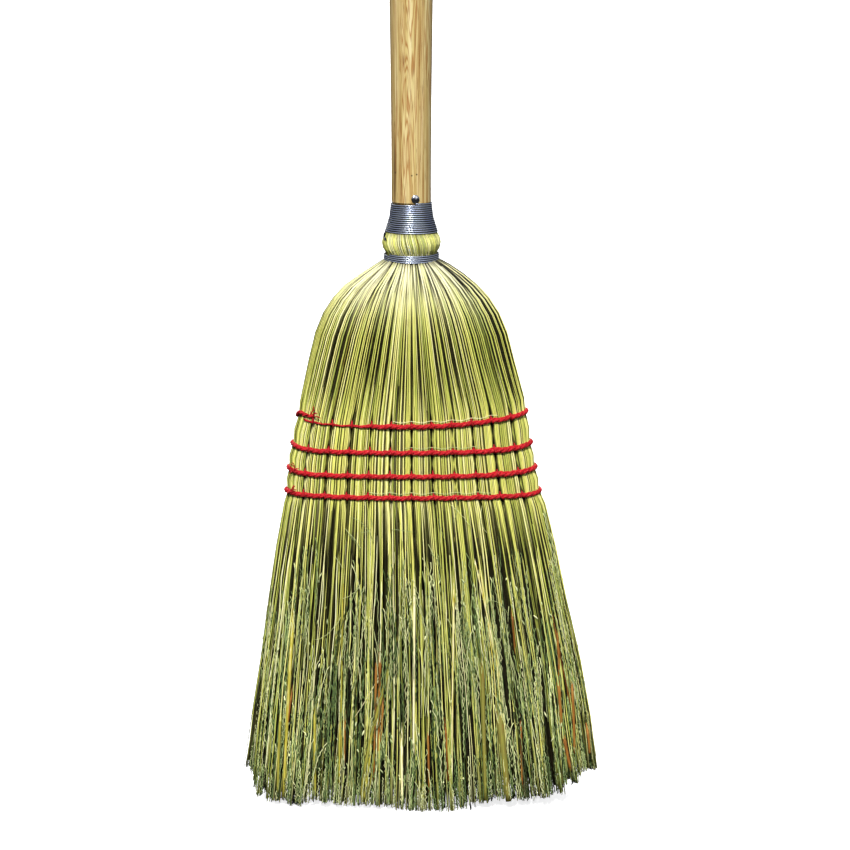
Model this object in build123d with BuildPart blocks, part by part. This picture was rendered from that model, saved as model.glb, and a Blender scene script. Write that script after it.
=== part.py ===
"""Upright corn broom: a turned wooden handle with a flat, stitched head of broom corn.

Millimetres. Z is up, X runs across the width of the head and Y through its depth.
The front face looks towards -Y. The broom stands on its bristle tips at Z = 0 and the
handle's axis is the Z axis.
"""
import os
from math import acos, atan, cos, pi, radians, sin, sqrt, tan

from build123d import *

os.makedirs("parts", exist_ok=True)

# Handle: turned hardwood, slender above the head and tapered where the corn is tied on
HANDLE_LENGTH = 1067.0
HANDLE_DIAMETER = 28.5
HANDLE_NECK_DIAMETER = 25.7
HANDLE_TAPER = 146.0
HANDLE_END_RADIUS = 9.0
SPIGOT_LENGTH = 71.0
SPIGOT_TIP_DIAMETER = 14.0
SPIGOT_TIP_CHAMFER = 2.5
SPIGOT_FIT = 0.1

# Binding wire: close wound galvanised steel, and the nail that holds its end
WIRE_DIAMETER = 1.25
WIRE_GAP = 0.06
WIRE_FIT = 0.25
WIRE_SEAT_DEPTH = 0.9
WIRE_SEAT_LENGTH = 6.0
UPPER_TURNS = 7.0
UPPER_FLARE = 1.1
FLARE_TURNS = 7.75
BAND_TURNS = 4.0
INNER_TURNS = 5.0
RUNS_PER_TURN = 16
CROSSOVER_SWEEP = 26.0
CROSSOVER_LEG = 2.5
CROSSOVER_BEND = 2.0
CROSSOVER_LIFT = 0.5
NAIL_HEAD_DIAMETER = 5.4
NAIL_HEAD_HEIGHT = 1.4
NAIL_SHANK_DIAMETER = 2.0
NAIL_LENGTH = 19.0
NAIL_AZIMUTH = 282.0
NAIL_CLEARANCE = 0.3

# Head of broom corn
HEAD_HEIGHT = 404.0
BULGE_HEIGHT = 13.0
HURL_AT_NECK = 3.1
HURL_UNDER_WINDING = 2.6
HURL_BULGE = 2.5
NECK_TWIST = 10.0
INSIDE_CORN_WALL = 1.3
SHOULDER_DROP = 82.0
SHOULDER_WIDTH = 124.0
SHOULDER_DEPTH = 51.0
SWEEP_WIDTH = 242.0
SWEEP_DEPTH = 66.0
SIDE_BELLY = 3.5
TIP_LEAN = 7.0
STITCHED_DEPTH = 43.0
INSIDE_CORN_DEPTH = 16.0
INSIDE_CORN_TIP_DEPTH = 26.0
EDGE_SHARE = 0.85
FACE_DROP = 0.34
LOCKS_PER_FACE = 10
STALKS_PER_LOCK = 2
STALKS_PER_SHOULDER = 5
STALK_BELLY = 0.7
LOCK_GAP = 0.5
TIP_GAP = 2.0
TIP_STAGGER = 1.5

# Sewing: rows of red twine, each a band round the head held by stitches through it
ROWS = 4
TOP_ROW_HEIGHT = 260.0
BOTTOM_ROW_HEIGHT = 212.0
TOP_ROW_BOW = 7.0
BOTTOM_ROW_BOW = 2.5
ROW_PINCH = 1.0
TWINE_DIAMETER = 3.2
TWINE_FIT = 0.35
STITCH_DIAMETER = 1.6
STITCH_FIT = 0.2
STITCH_TUCK = 1.0
STITCH_ROOM = 0.9

# Levels and radii that follow from the sizes above
wire_r = WIRE_DIAMETER / 2
wire_pitch = WIRE_DIAMETER + WIRE_GAP
neck_r = HANDLE_NECK_DIAMETER / 2
seat_r = neck_r - WIRE_SEAT_DEPTH
spigot_tip_r = SPIGOT_TIP_DIAMETER / 2
spigot_bottom = HEAD_HEIGHT - SPIGOT_LENGTH
seat_bottom = HEAD_HEIGHT - WIRE_SEAT_LENGTH
handle_top = spigot_bottom + HANDLE_LENGTH
flare_top = HEAD_HEIGHT - UPPER_TURNS * wire_pitch
winding_bottom = flare_top - (FLARE_TURNS + 1) * wire_pitch
bulge_middle = winding_bottom - BULGE_HEIGHT / 2
band_top = winding_bottom - BULGE_HEIGHT
band_bottom = band_top - (BAND_TURNS + 1) * wire_pitch
collar_top = band_top + (INNER_TURNS + 1.5) * wire_pitch
shoulder_z = HEAD_HEIGHT - SHOULDER_DROP
spigot_slope = (seat_r - spigot_tip_r) / (seat_bottom - spigot_bottom)
collar_r = spigot_tip_r + spigot_slope * (collar_top - spigot_bottom) + INSIDE_CORN_WALL
inner_wire_r = collar_r + WIRE_FIT + wire_r
hurl_in = inner_wire_r + wire_r + WIRE_FIT
hurl_out = hurl_in + HURL_AT_NECK
bulge_r = hurl_out + HURL_BULGE
flare_r = hurl_in + HURL_UNDER_WINDING
twine_r = TWINE_DIAMETER / 2
stitch_r = STITCH_DIAMETER / 2
stitch_hook = twine_r + stitch_r + STITCH_FIT
half_gap = LOCK_GAP / 2
pressed_belly = STALK_BELLY / 10
stitch_gap = stitch_r + STITCH_ROOM


def between(start, end, share):
    return start + (end - start) * share


def loose_share(z):
    """0 at the lowest sewn row, 1 at the tips."""
    return max(0.0, (BOTTOM_ROW_HEIGHT - z) / BOTTOM_ROW_HEIGHT)


def dome_share(z):
    """0 at the shoulder, 1 where the lower band is tied."""
    return max(0.0, (z - shoulder_z) / (band_bottom - shoulder_z))


def flare(z):
    """Half the width of the straight flare from the shoulder to the tips."""
    share = (shoulder_z - z) / shoulder_z
    return between(SHOULDER_WIDTH, SWEEP_WIDTH, share) / 2 + SIDE_BELLY * 4 * share * (1 - share)


def half_width(z):
    """Half the width of the head: the flare, drawn in over the dome to the neck."""
    return flare(z) - (flare(band_bottom) - hurl_out) * dome_share(z) ** 2.2


def half_depth(z):
    """Half the depth: round at the neck, full at the shoulder, pressed flat by the sewing."""
    if z >= shoulder_z:
        return SHOULDER_DEPTH / 2 - (SHOULDER_DEPTH / 2 - hurl_out) * dome_share(z) ** 2.2
    if z >= TOP_ROW_HEIGHT:
        share = (shoulder_z - z) / (shoulder_z - TOP_ROW_HEIGHT)
        return between(SHOULDER_DEPTH, STITCHED_DEPTH, share * share * (3 - 2 * share)) / 2
    return between(STITCHED_DEPTH, SWEEP_DEPTH, loose_share(z) ** 0.8) / 2


def inside_depth(z):
    """Half the depth of the room that the inside corn fills."""
    if z >= TOP_ROW_HEIGHT:
        share = min(1.0, (z - TOP_ROW_HEIGHT) / (band_bottom - TOP_ROW_HEIGHT))
        return between(INSIDE_CORN_DEPTH / 2, hurl_in, share)
    return between(INSIDE_CORN_DEPTH, INSIDE_CORN_TIP_DEPTH, loose_share(z)) / 2


def lean(z):
    """Sideways set that the loose bristles take below the sewing."""
    return TIP_LEAN * sqrt(loose_share(z))


def face_depth(depth, share, z):
    """Depth of a face at a share of the half width: round at the neck, flatter in the fan."""
    flat = 1 - FACE_DROP * (share / EDGE_SHARE) ** 2
    return depth * between(flat, sqrt(1 - share**2), min(1.0, dome_share(z) * 1.6))


def row_height(row, share):
    """Height of a sewn row at a share of the half width; the rows sag in the middle."""
    step = row / (ROWS - 1)
    sag = between(TOP_ROW_BOW, BOTTOM_ROW_BOW, step)
    return between(TOP_ROW_HEIGHT, BOTTOM_ROW_HEIGHT, step**0.92) + sag * share**2


def neck_sections():
    """Sections of a lock where the wire binds it, from its cut end down to the lower band."""
    levels = (
        (flare_top, seat_r + UPPER_FLARE, seat_r - UPPER_FLARE * 0.1),
        (winding_bottom, flare_r, between(seat_r, hurl_in, 0.6)),
        (bulge_middle, bulge_r, hurl_in),
        (band_top, hurl_out, hurl_in),
        (band_bottom, hurl_out, hurl_in),
    )
    for z, radius, inner in levels:
        turn = NECK_TWIST * max(0.0, z - band_top) / (flare_top - band_top)
        yield z, radius, radius, inner, half_gap, pressed_belly, turn


def fan_sections(share, tip):
    """Sections of a lock below the neck: height, half sizes, gap, belly of its stalks."""
    top_row = row_height(0, share)
    last_row = row_height(ROWS - 1, share)
    for step in (0.9, 0.74, 0.53, 0.28, 0.0):
        z = between(shoulder_z, band_bottom, step)
        belly = between(STALK_BELLY, pressed_belly, step)
        yield z, half_width(z), half_depth(z), inside_depth(z), half_gap, belly, 0.0
    z = between(shoulder_z, top_row, 0.55)
    yield z, half_width(z), half_depth(z), inside_depth(z), half_gap, STALK_BELLY, 0.0
    for row in range(ROWS):
        z = row_height(row, share)
        width = half_width(z) - ROW_PINCH
        depth = half_depth(z) - ROW_PINCH
        yield z, width, depth, inside_depth(z), stitch_gap, pressed_belly, 0.0
        if row < ROWS - 1:
            z = between(z, row_height(row + 1, share), 0.5)
            yield z, half_width(z), half_depth(z), inside_depth(z), half_gap, STALK_BELLY, 0.0
    for step in (0.05, 0.4, 1.0):
        z = between(last_row, tip, step)
        gap = between(half_gap, TIP_GAP / 2, step)
        belly = STALK_BELLY * (1 + step)
        yield z, half_width(z), half_depth(z), inside_depth(z), gap, belly, 0.0


# Handle: revolved about its axis, with a seat for the wire and a hole for the nail
nail_z = HEAD_HEIGHT + NAIL_HEAD_DIAMETER / 2 + NAIL_CLEARANCE
nail_plane = Plane(
    origin=(neck_r * cos(radians(NAIL_AZIMUTH)), neck_r * sin(radians(NAIL_AZIMUTH)), nail_z),
    z_dir=(cos(radians(NAIL_AZIMUTH)), sin(radians(NAIL_AZIMUTH)), 0),
)
handle_r = HANDLE_DIAMETER / 2
seat_top = HEAD_HEIGHT + WIRE_GAP
taper_top = HEAD_HEIGHT + HANDLE_TAPER
with BuildPart() as handle:
    with BuildSketch(Plane.XZ):
        with BuildLine():
            Polyline(
                (0, spigot_bottom),
                (spigot_tip_r - SPIGOT_TIP_CHAMFER, spigot_bottom),
                (spigot_tip_r, spigot_bottom + SPIGOT_TIP_CHAMFER),
                (seat_r, seat_bottom),
                (seat_r, seat_top),
                (neck_r, seat_top),
                (neck_r, seat_top + NAIL_HEAD_DIAMETER * 2),
            )
            Spline(
                (neck_r, seat_top + NAIL_HEAD_DIAMETER * 2),
                (between(neck_r, handle_r, 0.36), between(HEAD_HEIGHT, taper_top, 0.64)),
                (handle_r, taper_top),
                tangents=((0, 1), (0, 1)),
            )
            Polyline(
                (handle_r, taper_top),
                (handle_r, handle_top - HANDLE_END_RADIUS),
            )
            RadiusArc(
                (handle_r, handle_top - HANDLE_END_RADIUS),
                (handle_r - HANDLE_END_RADIUS, handle_top),
                -HANDLE_END_RADIUS,
            )
            Polyline(
                (handle_r - HANDLE_END_RADIUS, handle_top),
                (0, handle_top),
                (0, spigot_bottom),
            )
        make_face()
    revolve(axis=Axis.Z)
    with Locations(nail_plane):
        Cylinder(
            NAIL_SHANK_DIAMETER / 2,
            NAIL_LENGTH,
            align=(Align.CENTER, Align.CENTER, Align.MAX),
            mode=Mode.SUBTRACT,
        )
handle.part.label = "handle"
export_step(handle.part, "parts/handle.step")

# Nail: domed head against the wood, plain shank and point inside it
nail_r = NAIL_SHANK_DIAMETER / 2
nail_head_r = NAIL_HEAD_DIAMETER / 2
nail_side = Plane(nail_plane.origin, x_dir=(0, 0, 1), z_dir=nail_plane.z_dir.cross(Vector(0, 0, -1)))
with BuildPart() as wire_nail:
    with BuildSketch(nail_side):
        with BuildLine():
            Polyline(
                (0, nail_r - NAIL_LENGTH),
                (nail_r, 3 * nail_r - NAIL_LENGTH),
                (nail_r, 0),
                (nail_head_r, 0),
                (nail_head_r, 0.3 * NAIL_HEAD_HEIGHT),
            )
            TangentArc((0, NAIL_HEAD_HEIGHT), (nail_head_r, 0.3 * NAIL_HEAD_HEIGHT), tangent=(1, 0))
            Line((0, NAIL_HEAD_HEIGHT), (0, nail_r - NAIL_LENGTH))
        make_face()
    revolve(axis=Axis(nail_plane.origin, nail_plane.z_dir))
wire_nail.part.label = "wire_nail"
export_step(wire_nail.part, "parts/wire_nail.step")


def coil(top, turns, radius_at, azimuth):
    """Wire wound downwards in short straight runs that touch its radius, and its path."""
    points = []
    for k in range(round(turns * RUNS_PER_TURN) + 1):
        turn = k / RUNS_PER_TURN
        radius = radius_at(turn) / cos(pi / RUNS_PER_TURN)
        angle = radians(azimuth) + 2 * pi * turn
        points.append((radius * cos(angle), radius * sin(angle), top - wire_r - wire_pitch * turn))
    with BuildPart() as wire:
        with BuildLine() as path:
            Polyline(*points)
        with BuildSketch(Plane(origin=path.line @ 0, z_dir=path.line % 0)):
            RegularPolygon(wire_r, 6)
        sweep(transition=Transition.RIGHT)
    return wire.part, path.line


def upper_radius(turn):
    """Radius of the wire's centre: level on the wood, then flaring over the corn."""
    if turn < UPPER_TURNS:
        return seat_r + WIRE_FIT + wire_r + UPPER_FLARE * turn / UPPER_TURNS
    share = (turn - UPPER_TURNS) / FLARE_TURNS
    return between(seat_r + UPPER_FLARE, flare_r, share) + WIRE_FIT + wire_r


# Upper winding: from the nail down over the ends of the corn
turns = UPPER_TURNS + FLARE_TURNS
upper_winding, upper_path = coil(HEAD_HEIGHT, turns, upper_radius, NAIL_AZIMUTH)
upper_winding.label = "upper_winding"
export_step(upper_winding, "parts/upper_winding.step")

# Lower winding: the narrow band that gathers the head under the bulge
upper_end = NAIL_AZIMUTH + 360 * turns
lower_start = upper_end + CROSSOVER_SWEEP
band_r = hurl_out + WIRE_FIT + wire_r
lower_winding, lower_path = coil(band_top, BAND_TURNS, lambda turn: band_r, lower_start)
lower_winding.label = "lower_winding"
export_step(lower_winding, "parts/lower_winding.step")

# Crossover: the same wire on its way over the bulge from one winding to the other
leave = upper_path @ 1
arrive = lower_path @ 0
crest = radians(upper_end + CROSSOVER_SWEEP / 2)
crest_r = bulge_r + WIRE_FIT + wire_r + CROSSOVER_LIFT
with BuildPart() as wire_crossover:
    with BuildLine() as crossing:
        FilletPolyline(
            leave,
            leave + (upper_path % 1) * CROSSOVER_LEG,
            (crest_r * cos(crest), crest_r * sin(crest), bulge_middle),
            arrive - (lower_path % 0) * CROSSOVER_LEG,
            arrive,
            radius=CROSSOVER_BEND,
        )
    with BuildSketch(Plane(origin=crossing.line @ 0, z_dir=crossing.line % 0)):
        RegularPolygon(wire_r, 6)
    sweep()
wire_crossover.part.label = "wire_crossover"
export_step(wire_crossover.part, "parts/wire_crossover.step")

# Inner winding: hidden turns that tie the inside corn to the handle
inner_top = collar_top - wire_pitch / 2
inner_winding, inner_path = coil(inner_top, INNER_TURNS, lambda turn: inner_wire_r, NAIL_AZIMUTH)
inner_winding.label = "inner_winding"
export_step(inner_winding, "parts/inner_winding.step")

# Stitch places of each row: share of the half width, and the point on the front face
stitch_shares = [between(-EDGE_SHARE, EDGE_SHARE, k / LOCKS_PER_FACE) for k in range(LOCKS_PER_FACE + 1)]


def row_edge(row):
    """Where a row's band turns from the front face into the side: x, y, z of its centre line."""
    z = row_height(row, EDGE_SHARE)
    x = EDGE_SHARE * (half_width(z) - ROW_PINCH)
    depth = half_depth(z) - ROW_PINCH
    slope = atan(2 * FACE_DROP * depth / x)
    y = depth * (1 - FACE_DROP)
    away = twine_r + TWINE_FIT
    return x + away * sin(slope), y + away * cos(slope), z


def row_point(row, share):
    """Where a stitch meets its row on a face: x of the stitch, depth and height of the band."""
    x, y, z = row_edge(row)
    low = row_height(row, 0)
    front = half_depth(low) - ROW_PINCH + twine_r + TWINE_FIT
    stitch_x = share * (half_width(row_height(row, share) + stitch_hook) - ROW_PINCH)
    fall = (stitch_x / x) ** 2
    return stitch_x, between(front, y, fall), between(low, z, fall)


# Inside corn: the hidden core tied to the handle, pierced by the stitches
with BuildPart() as inside_corn:
    core_levels = [band_top, band_bottom]
    core_levels += [between(shoulder_z, band_bottom, step) for step in (0.9, 0.74, 0.53, 0.28, 0.0)]
    core_levels += [TOP_ROW_HEIGHT + TOP_ROW_BOW, BOTTOM_ROW_HEIGHT, 0.6 * BOTTOM_ROW_HEIGHT, 0.0]
    for z in core_levels:
        if z >= band_bottom:
            width, depth = hurl_out, hurl_in
        else:
            width, depth = half_width(z) - ROW_PINCH, inside_depth(z)
        x = EDGE_SHARE * width - LOCK_GAP
        edge = face_depth(depth - LOCK_GAP, EDGE_SHARE, z)
        left, middle, right = lean(z) - x, lean(z), lean(z) + x
        with BuildSketch(Plane.XY.offset(z)):
            with BuildLine():
                ThreePointArc((left, -edge), (middle, LOCK_GAP - depth), (right, -edge))
                Line((right, -edge), (right, edge))
                ThreePointArc((right, edge), (middle, depth - LOCK_GAP), (left, edge))
                Line((left, edge), (left, -edge))
            make_face()
    loft(ruled=True)
    with Locations((0, 0, band_top)):
        Cylinder(collar_r, collar_top - band_top, align=(Align.CENTER, Align.CENTER, Align.MIN))
    with BuildSketch(Plane.XZ):
        with BuildLine():
            Polyline(
                (0, spigot_bottom - SPIGOT_FIT),
                (spigot_tip_r - SPIGOT_TIP_CHAMFER + SPIGOT_FIT, spigot_bottom - SPIGOT_FIT),
                (spigot_tip_r + SPIGOT_FIT, spigot_bottom + SPIGOT_TIP_CHAMFER),
                (seat_r + SPIGOT_FIT, seat_bottom),
                (0, seat_bottom),
                close=True,
            )
        make_face()
    revolve(axis=Axis.Z, mode=Mode.SUBTRACT)
    stitches_at = [row_point(row, share) for row in range(ROWS) for share in stitch_shares]
    with BuildSketch(Plane.XZ):
        with Locations(*[(x, z + stitch_hook) for x, y, z in stitches_at]):
            RegularPolygon(stitch_r + STITCH_FIT, 6)
    extrude(amount=SWEEP_DEPTH, both=True, mode=Mode.SUBTRACT)
inside_corn.part.label = "inside_corn"
export_step(inside_corn.part, "parts/inside_corn.step")


def lock_outline(first, last, facing, section):
    """Outline of a lock between two stitch lines: inner corner, ridges, inner corner.

    The front locks face -Y; the back ones are the same, turned half round the handle.
    """
    z, width, depth, inner, gap, belly, turn = section
    left = first * width + gap
    right = last * width - gap
    outer = []
    for k in range(2 * STALKS_PER_LOCK + 1):
        x = between(left, right, k / (2 * STALKS_PER_LOCK))
        y = face_depth(depth, x / width, z) + belly * (k % 2)
        outer.append((facing * x + lean(z), -facing * y))
    near = (facing * left + lean(z), -facing * face_depth(inner, left / width, z))
    far = (facing * right + lean(z), -facing * face_depth(inner, right / width, z))
    return near, outer, far


def shoulder_outline(facing, section):
    """Outline of a side lock: a ridged lobe that rounds off the end of the head."""
    z, width, depth, inner, gap, belly, turn = section
    edge_x = EDGE_SHARE * width
    edge_y = face_depth(depth, EDGE_SHARE, z)
    tip = width
    if gap == stitch_gap:
        slope = atan(2 * FACE_DROP * depth / edge_x)
        tip = edge_x + edge_y / cos(slope) - edge_y * tan(slope)
    radius = ((tip - edge_x) ** 2 + edge_y**2) / (2 * (tip - edge_x))
    x = edge_x + gap
    spread = acos((x - tip + radius) / radius)
    outer = []
    for k in range(2 * STALKS_PER_SHOULDER + 1):
        angle = between(-spread, spread, k / (2 * STALKS_PER_SHOULDER))
        reach = radius + belly * (k % 2)
        outer.append((facing * (tip - radius + reach * cos(angle)) + lean(z), facing * reach * sin(angle)))
    edge = face_depth(inner, EDGE_SHARE, z)
    far = (facing * x + lean(z), facing * edge)
    near = (facing * x + lean(z), -facing * edge)
    return near, outer, far


# Hurl: the covering corn in locks between the stitches, front and back, with the side
# locks tied on as shoulders; each runs from under the upper winding to the tips
locks = {}
for face, facing in (("front", 1), ("back", -1)):
    for k in range(LOCKS_PER_FACE):
        first, last = stitch_shares[k], stitch_shares[k + 1]
        levels = list(neck_sections())
        levels += fan_sections((first + last) / 2, TIP_STAGGER * (5 * k % 4) / 3)
        outlines = [lock_outline(first, last, facing, section) for section in levels]
        locks[f"{face}_lock_{k + 1:02d}"] = levels, outlines
for name, facing in (("left_shoulder", -1), ("right_shoulder", 1)):
    levels = list(neck_sections())[1:]
    levels += fan_sections(1.0, 4 * TIP_STAGGER)
    outlines = [shoulder_outline(facing, section) for section in levels]
    locks[name] = levels, outlines
for name, (levels, outlines) in locks.items():
    with BuildPart() as lock:
        for section, (near, ridges, far) in zip(levels, outlines):
            with BuildSketch(Plane.XY.offset(section[0]).rotated((0, 0, section[-1]))):
                with BuildLine():
                    Polyline(near, *ridges, far, close=True)
                make_face()
        loft(ruled=True)
    lock.part.label = name
    export_step(lock.part, f"parts/{name}.step")

# Sewing: a band of twine round the head for each row, and the stitches that hold it
for row in range(ROWS):
    x, y, z = row_edge(row)
    front = row_point(row, 0)[1]
    low = row_height(row, 0)
    with BuildPart() as band:
        with BuildLine() as round_head:
            run = ThreePointArc((-x, -y, z), (0, -front, low), (x, -y, z))
            TangentArc((x, -y, z), (x, y, z), tangent=run % 1)
            run = ThreePointArc((x, y, z), (0, front, low), (-x, y, z))
            TangentArc((-x, y, z), (-x, -y, z), tangent=run % 1)
        with BuildSketch(Plane(origin=round_head.line @ 0, z_dir=round_head.line % 0)):
            RegularPolygon(twine_r, 6)
        sweep()
    band.part.label = f"row_{row + 1}_band"
    export_step(band.part, f"parts/row_{row + 1}_band.step")
    with BuildPart() as stitches:
        for share in stitch_shares:
            sx, sy, sz = row_point(row, share)
            corner = stitch_hook * tan(pi / 8)
            hook = (
                (STITCH_TUCK - sy, sz - stitch_hook),
                (-sy - corner, sz - stitch_hook),
                (-sy - stitch_hook, sz - corner),
                (-sy - stitch_hook, sz + corner),
                (-sy - corner, sz + stitch_hook),
            )
            front_hook = [(sx, y, z) for y, z in hook]
            back_hook = [(sx, -y, z) for y, z in reversed(hook)]
            with BuildLine() as thread:
                Polyline(*front_hook, *back_hook)
            with BuildSketch(Plane(origin=thread.line @ 0, z_dir=thread.line % 0)):
                RegularPolygon(stitch_r, 6)
            sweep(transition=Transition.RIGHT)
    stitches.part.label = f"row_{row + 1}_stitches"
    export_step(stitches.part, f"parts/row_{row + 1}_stitches.step")
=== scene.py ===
"""Looks of the upright corn broom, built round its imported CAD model.

Metres, in the CAD's frame: Z up along the handle, X across the head, the front looks towards -Y
and the bristle tips stand at Z = 0.
"""

import bpy
import numpy as np
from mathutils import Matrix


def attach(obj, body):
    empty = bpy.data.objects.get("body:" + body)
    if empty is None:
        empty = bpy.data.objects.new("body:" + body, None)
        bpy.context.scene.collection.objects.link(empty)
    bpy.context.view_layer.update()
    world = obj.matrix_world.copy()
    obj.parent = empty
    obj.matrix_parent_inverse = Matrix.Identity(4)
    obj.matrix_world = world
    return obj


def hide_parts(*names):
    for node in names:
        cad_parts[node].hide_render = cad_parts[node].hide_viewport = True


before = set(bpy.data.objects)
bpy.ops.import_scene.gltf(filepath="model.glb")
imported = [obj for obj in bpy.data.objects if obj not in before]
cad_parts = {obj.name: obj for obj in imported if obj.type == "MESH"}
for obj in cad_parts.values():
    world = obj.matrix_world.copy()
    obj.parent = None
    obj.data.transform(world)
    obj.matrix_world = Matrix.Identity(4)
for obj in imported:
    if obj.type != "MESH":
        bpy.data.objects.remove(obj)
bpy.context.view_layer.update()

# Camera: at the height of the handle's lower half, a little to the right of the broom and looking
# down on it, so that the handle runs out of the picture's top and the tips stand near its bottom.
CAMERA_PLACE = (0.00891, -1.9, 0.626)
CAMERA_PITCH = 78.977
CAMERA_LENS = 124.2
SENSOR_WIDTH = 36.0
FAR_LIMIT = 200.0


def add_object(name, data):
    """An object at the origin for a camera, a mesh or a light, put in the scene."""
    thing = bpy.data.objects.new(name, data)
    bpy.context.scene.collection.objects.link(thing)
    return thing


view = bpy.data.cameras.new("view")
view.sensor_width = SENSOR_WIDTH
view.lens = CAMERA_LENS
view.clip_end = FAR_LIMIT
viewpoint = add_object("view", view)
viewpoint.location = CAMERA_PLACE
viewpoint.rotation_euler = (np.radians(CAMERA_PITCH), 0.0, 0.0)
bpy.context.scene.camera = viewpoint

# Handle: one stick of pale hardwood, turned round, thinner where the corn is tied on, and
# finished with a thin satin lacquer. Its tapered lower end is inside the head.
HANDLE_SIDES = 96
HANDLE_TOP = 1.4
HANDLE_R = 0.01425
NECK_R = 0.01285
SEAT_R = 0.01195
SEAT_TOP = 0.40406
TAPER_START = 0.415
TAPER_END = 0.55
END_R = 0.009
TAPER_RINGS = 24
STRAIGHT_START = 0.56
STRAIGHT_RINGS = 40
ARC_RINGS = 12
WHITE = (1.0, 1.0, 1.0, 1.0)
GROWTH_LINES = (0.3, 0.37, 0.43, 0.48, 0.53, 0.59, 0.66, 0.74)
WOOD_MARK_R = 0.013
WOOD_MARKS = (
    (0.0004, 0.4222, 0.00045, 1.0),
    (0.0036, 0.4229, 0.00045, 1.0),
    (-0.0104, 0.4236, 0.0005, 1.2),
    (-0.0108, 0.422, 0.0011, 16.0),
)
STREAK_STRETCH = 4.0
SIDE_MARGIN = 0.06
END_MARGIN = 0.03


def shade(red, green, blue):
    """Linear colour of a display colour given from 0 to 255: the sRGB curve undone."""
    value = np.array((red, green, blue)) / 255.0
    linear = np.where(value < 0.04045, value / 12.92, ((value + 0.055) / 1.055) ** 2.4)
    return (*linear, 1.0)


def finish_for(name, inputs):
    """A material with only its shader and that shader's inputs, ready for the nodes of one finish."""
    material = bpy.data.materials.new(name)
    material.use_nodes = True
    shader = material.node_tree.nodes["Principled BSDF"]
    for key, value in inputs.items():
        shader.inputs[key].default_value = value
    return material, shader


def add_node(shader, kind, inputs, **settings):
    """A node beside a shader; each input is a socket to join or a value to set."""
    tree = shader.id_data
    node = tree.nodes.new("ShaderNode" + kind)
    for key, value in settings.items():
        setattr(node, key, value)
    for key, value in inputs.items():
        if isinstance(value, bpy.types.NodeSocket):
            tree.links.new(value, node.inputs[key])
        else:
            node.inputs[key].default_value = value
    return node


def join(shader, key, socket):
    """Joins a socket to one of the shader's inputs."""
    shader.id_data.links.new(socket, shader.inputs[key])


def ramp(shader, factor, stops):
    """Colours along a factor from 0 to 1, given as (place, colour) stops."""
    node = add_node(shader, "ValToRGB", {"Fac": factor})
    elements = node.color_ramp.elements
    elements[0].position, elements[0].color = stops[0]
    elements[1].position, elements[1].color = stops[-1]
    for place, colour in stops[1:-1]:
        elements.new(place).color = colour
    return node.outputs["Color"]


def mix(shader, factor, low, high, blend="MIX"):
    """Colour between two others; inputs 6 and 7 are the colour sockets of the mixing node."""
    inputs = {0: factor, 6: low, 7: high}
    return add_node(shader, "Mix", inputs, data_type="RGBA", blend_type=blend).outputs[2]


def place_of(shader, scale):
    """The piece's own coordinates in metres, stretched by a scale for each axis."""
    coordinates = add_node(shader, "TexCoord", {}).outputs["Object"]
    return add_node(shader, "Mapping", {"Vector": coordinates, "Scale": scale}).outputs["Vector"]


def noise(shader, scale, detail, roughness, distortion=0.0):
    """Soft noise from 0 to 1 over the piece's coordinates, stretched by a scale."""
    inputs = {"Vector": place_of(shader, scale), "Scale": 1.0, "Detail": detail}
    inputs.update({"Roughness": roughness, "Distortion": distortion})
    return add_node(shader, "TexNoise", inputs).outputs["Fac"]


def add_bump(shader, height, strength, distance):
    """Fine relief on the surface from a height."""
    node = add_node(shader, "Bump", {"Height": height, "Strength": strength, "Distance": distance})
    join(shader, "Normal", node.outputs["Normal"])


def skin(rings):
    """Quads and end caps over closed rings of points, numbered strand by strand.

    A quad joins two neighbours of a ring to the same two of the next; a cap is an end ring itself.
    The cells lay each strand out as a strip of its own, so that no two strands share a spot.
    """
    strands, count, sides = rings.shape[:3]
    index = np.arange(strands * count * sides).reshape(strands, count, sides)
    after = np.roll(index, -1, axis=2)
    quads = np.stack((index[:, :-1], index[:, 1:], after[:, 1:], after[:, :-1]), axis=-1).reshape(-1, 4)
    caps = np.concatenate((index[:, 0], index[:, -1, ::-1]))
    columns = int(np.ceil(np.sqrt(strands * 8)))
    rows = int(np.ceil(strands / columns))
    column = (np.arange(strands) % columns)[:, None, None, None]
    row = (np.arange(strands) // columns)[:, None, None, None]
    step = np.arange(count - 1)[None, :, None, None]
    side = np.arange(sides)[None, None, :, None]
    wide, tall = 1 - 2 * SIDE_MARGIN, 1 - 2 * END_MARGIN
    across = column + SIDE_MARGIN + wide * (side + np.array((0, 0, 1, 1))) / sides
    along = row + END_MARGIN + tall * (step + np.array((0, 1, 1, 0))) / (count - 1)
    across, along = np.broadcast_arrays(across / columns, along / rows)
    cells = np.stack((across, along), axis=-1).reshape(-1, 2)
    spot = np.tile(column[:, 0, 0], (2, 1)) + SIDE_MARGIN + wide * np.arange(sides) / sides
    level = np.concatenate((row[:, 0, 0] + END_MARGIN, row[:, 0, 0] + 1 - END_MARGIN)) + np.zeros(sides)
    ends = np.stack((spot / columns, level / rows), axis=-1).reshape(-1, 2)
    return quads, caps, np.concatenate((cells, ends))


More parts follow.
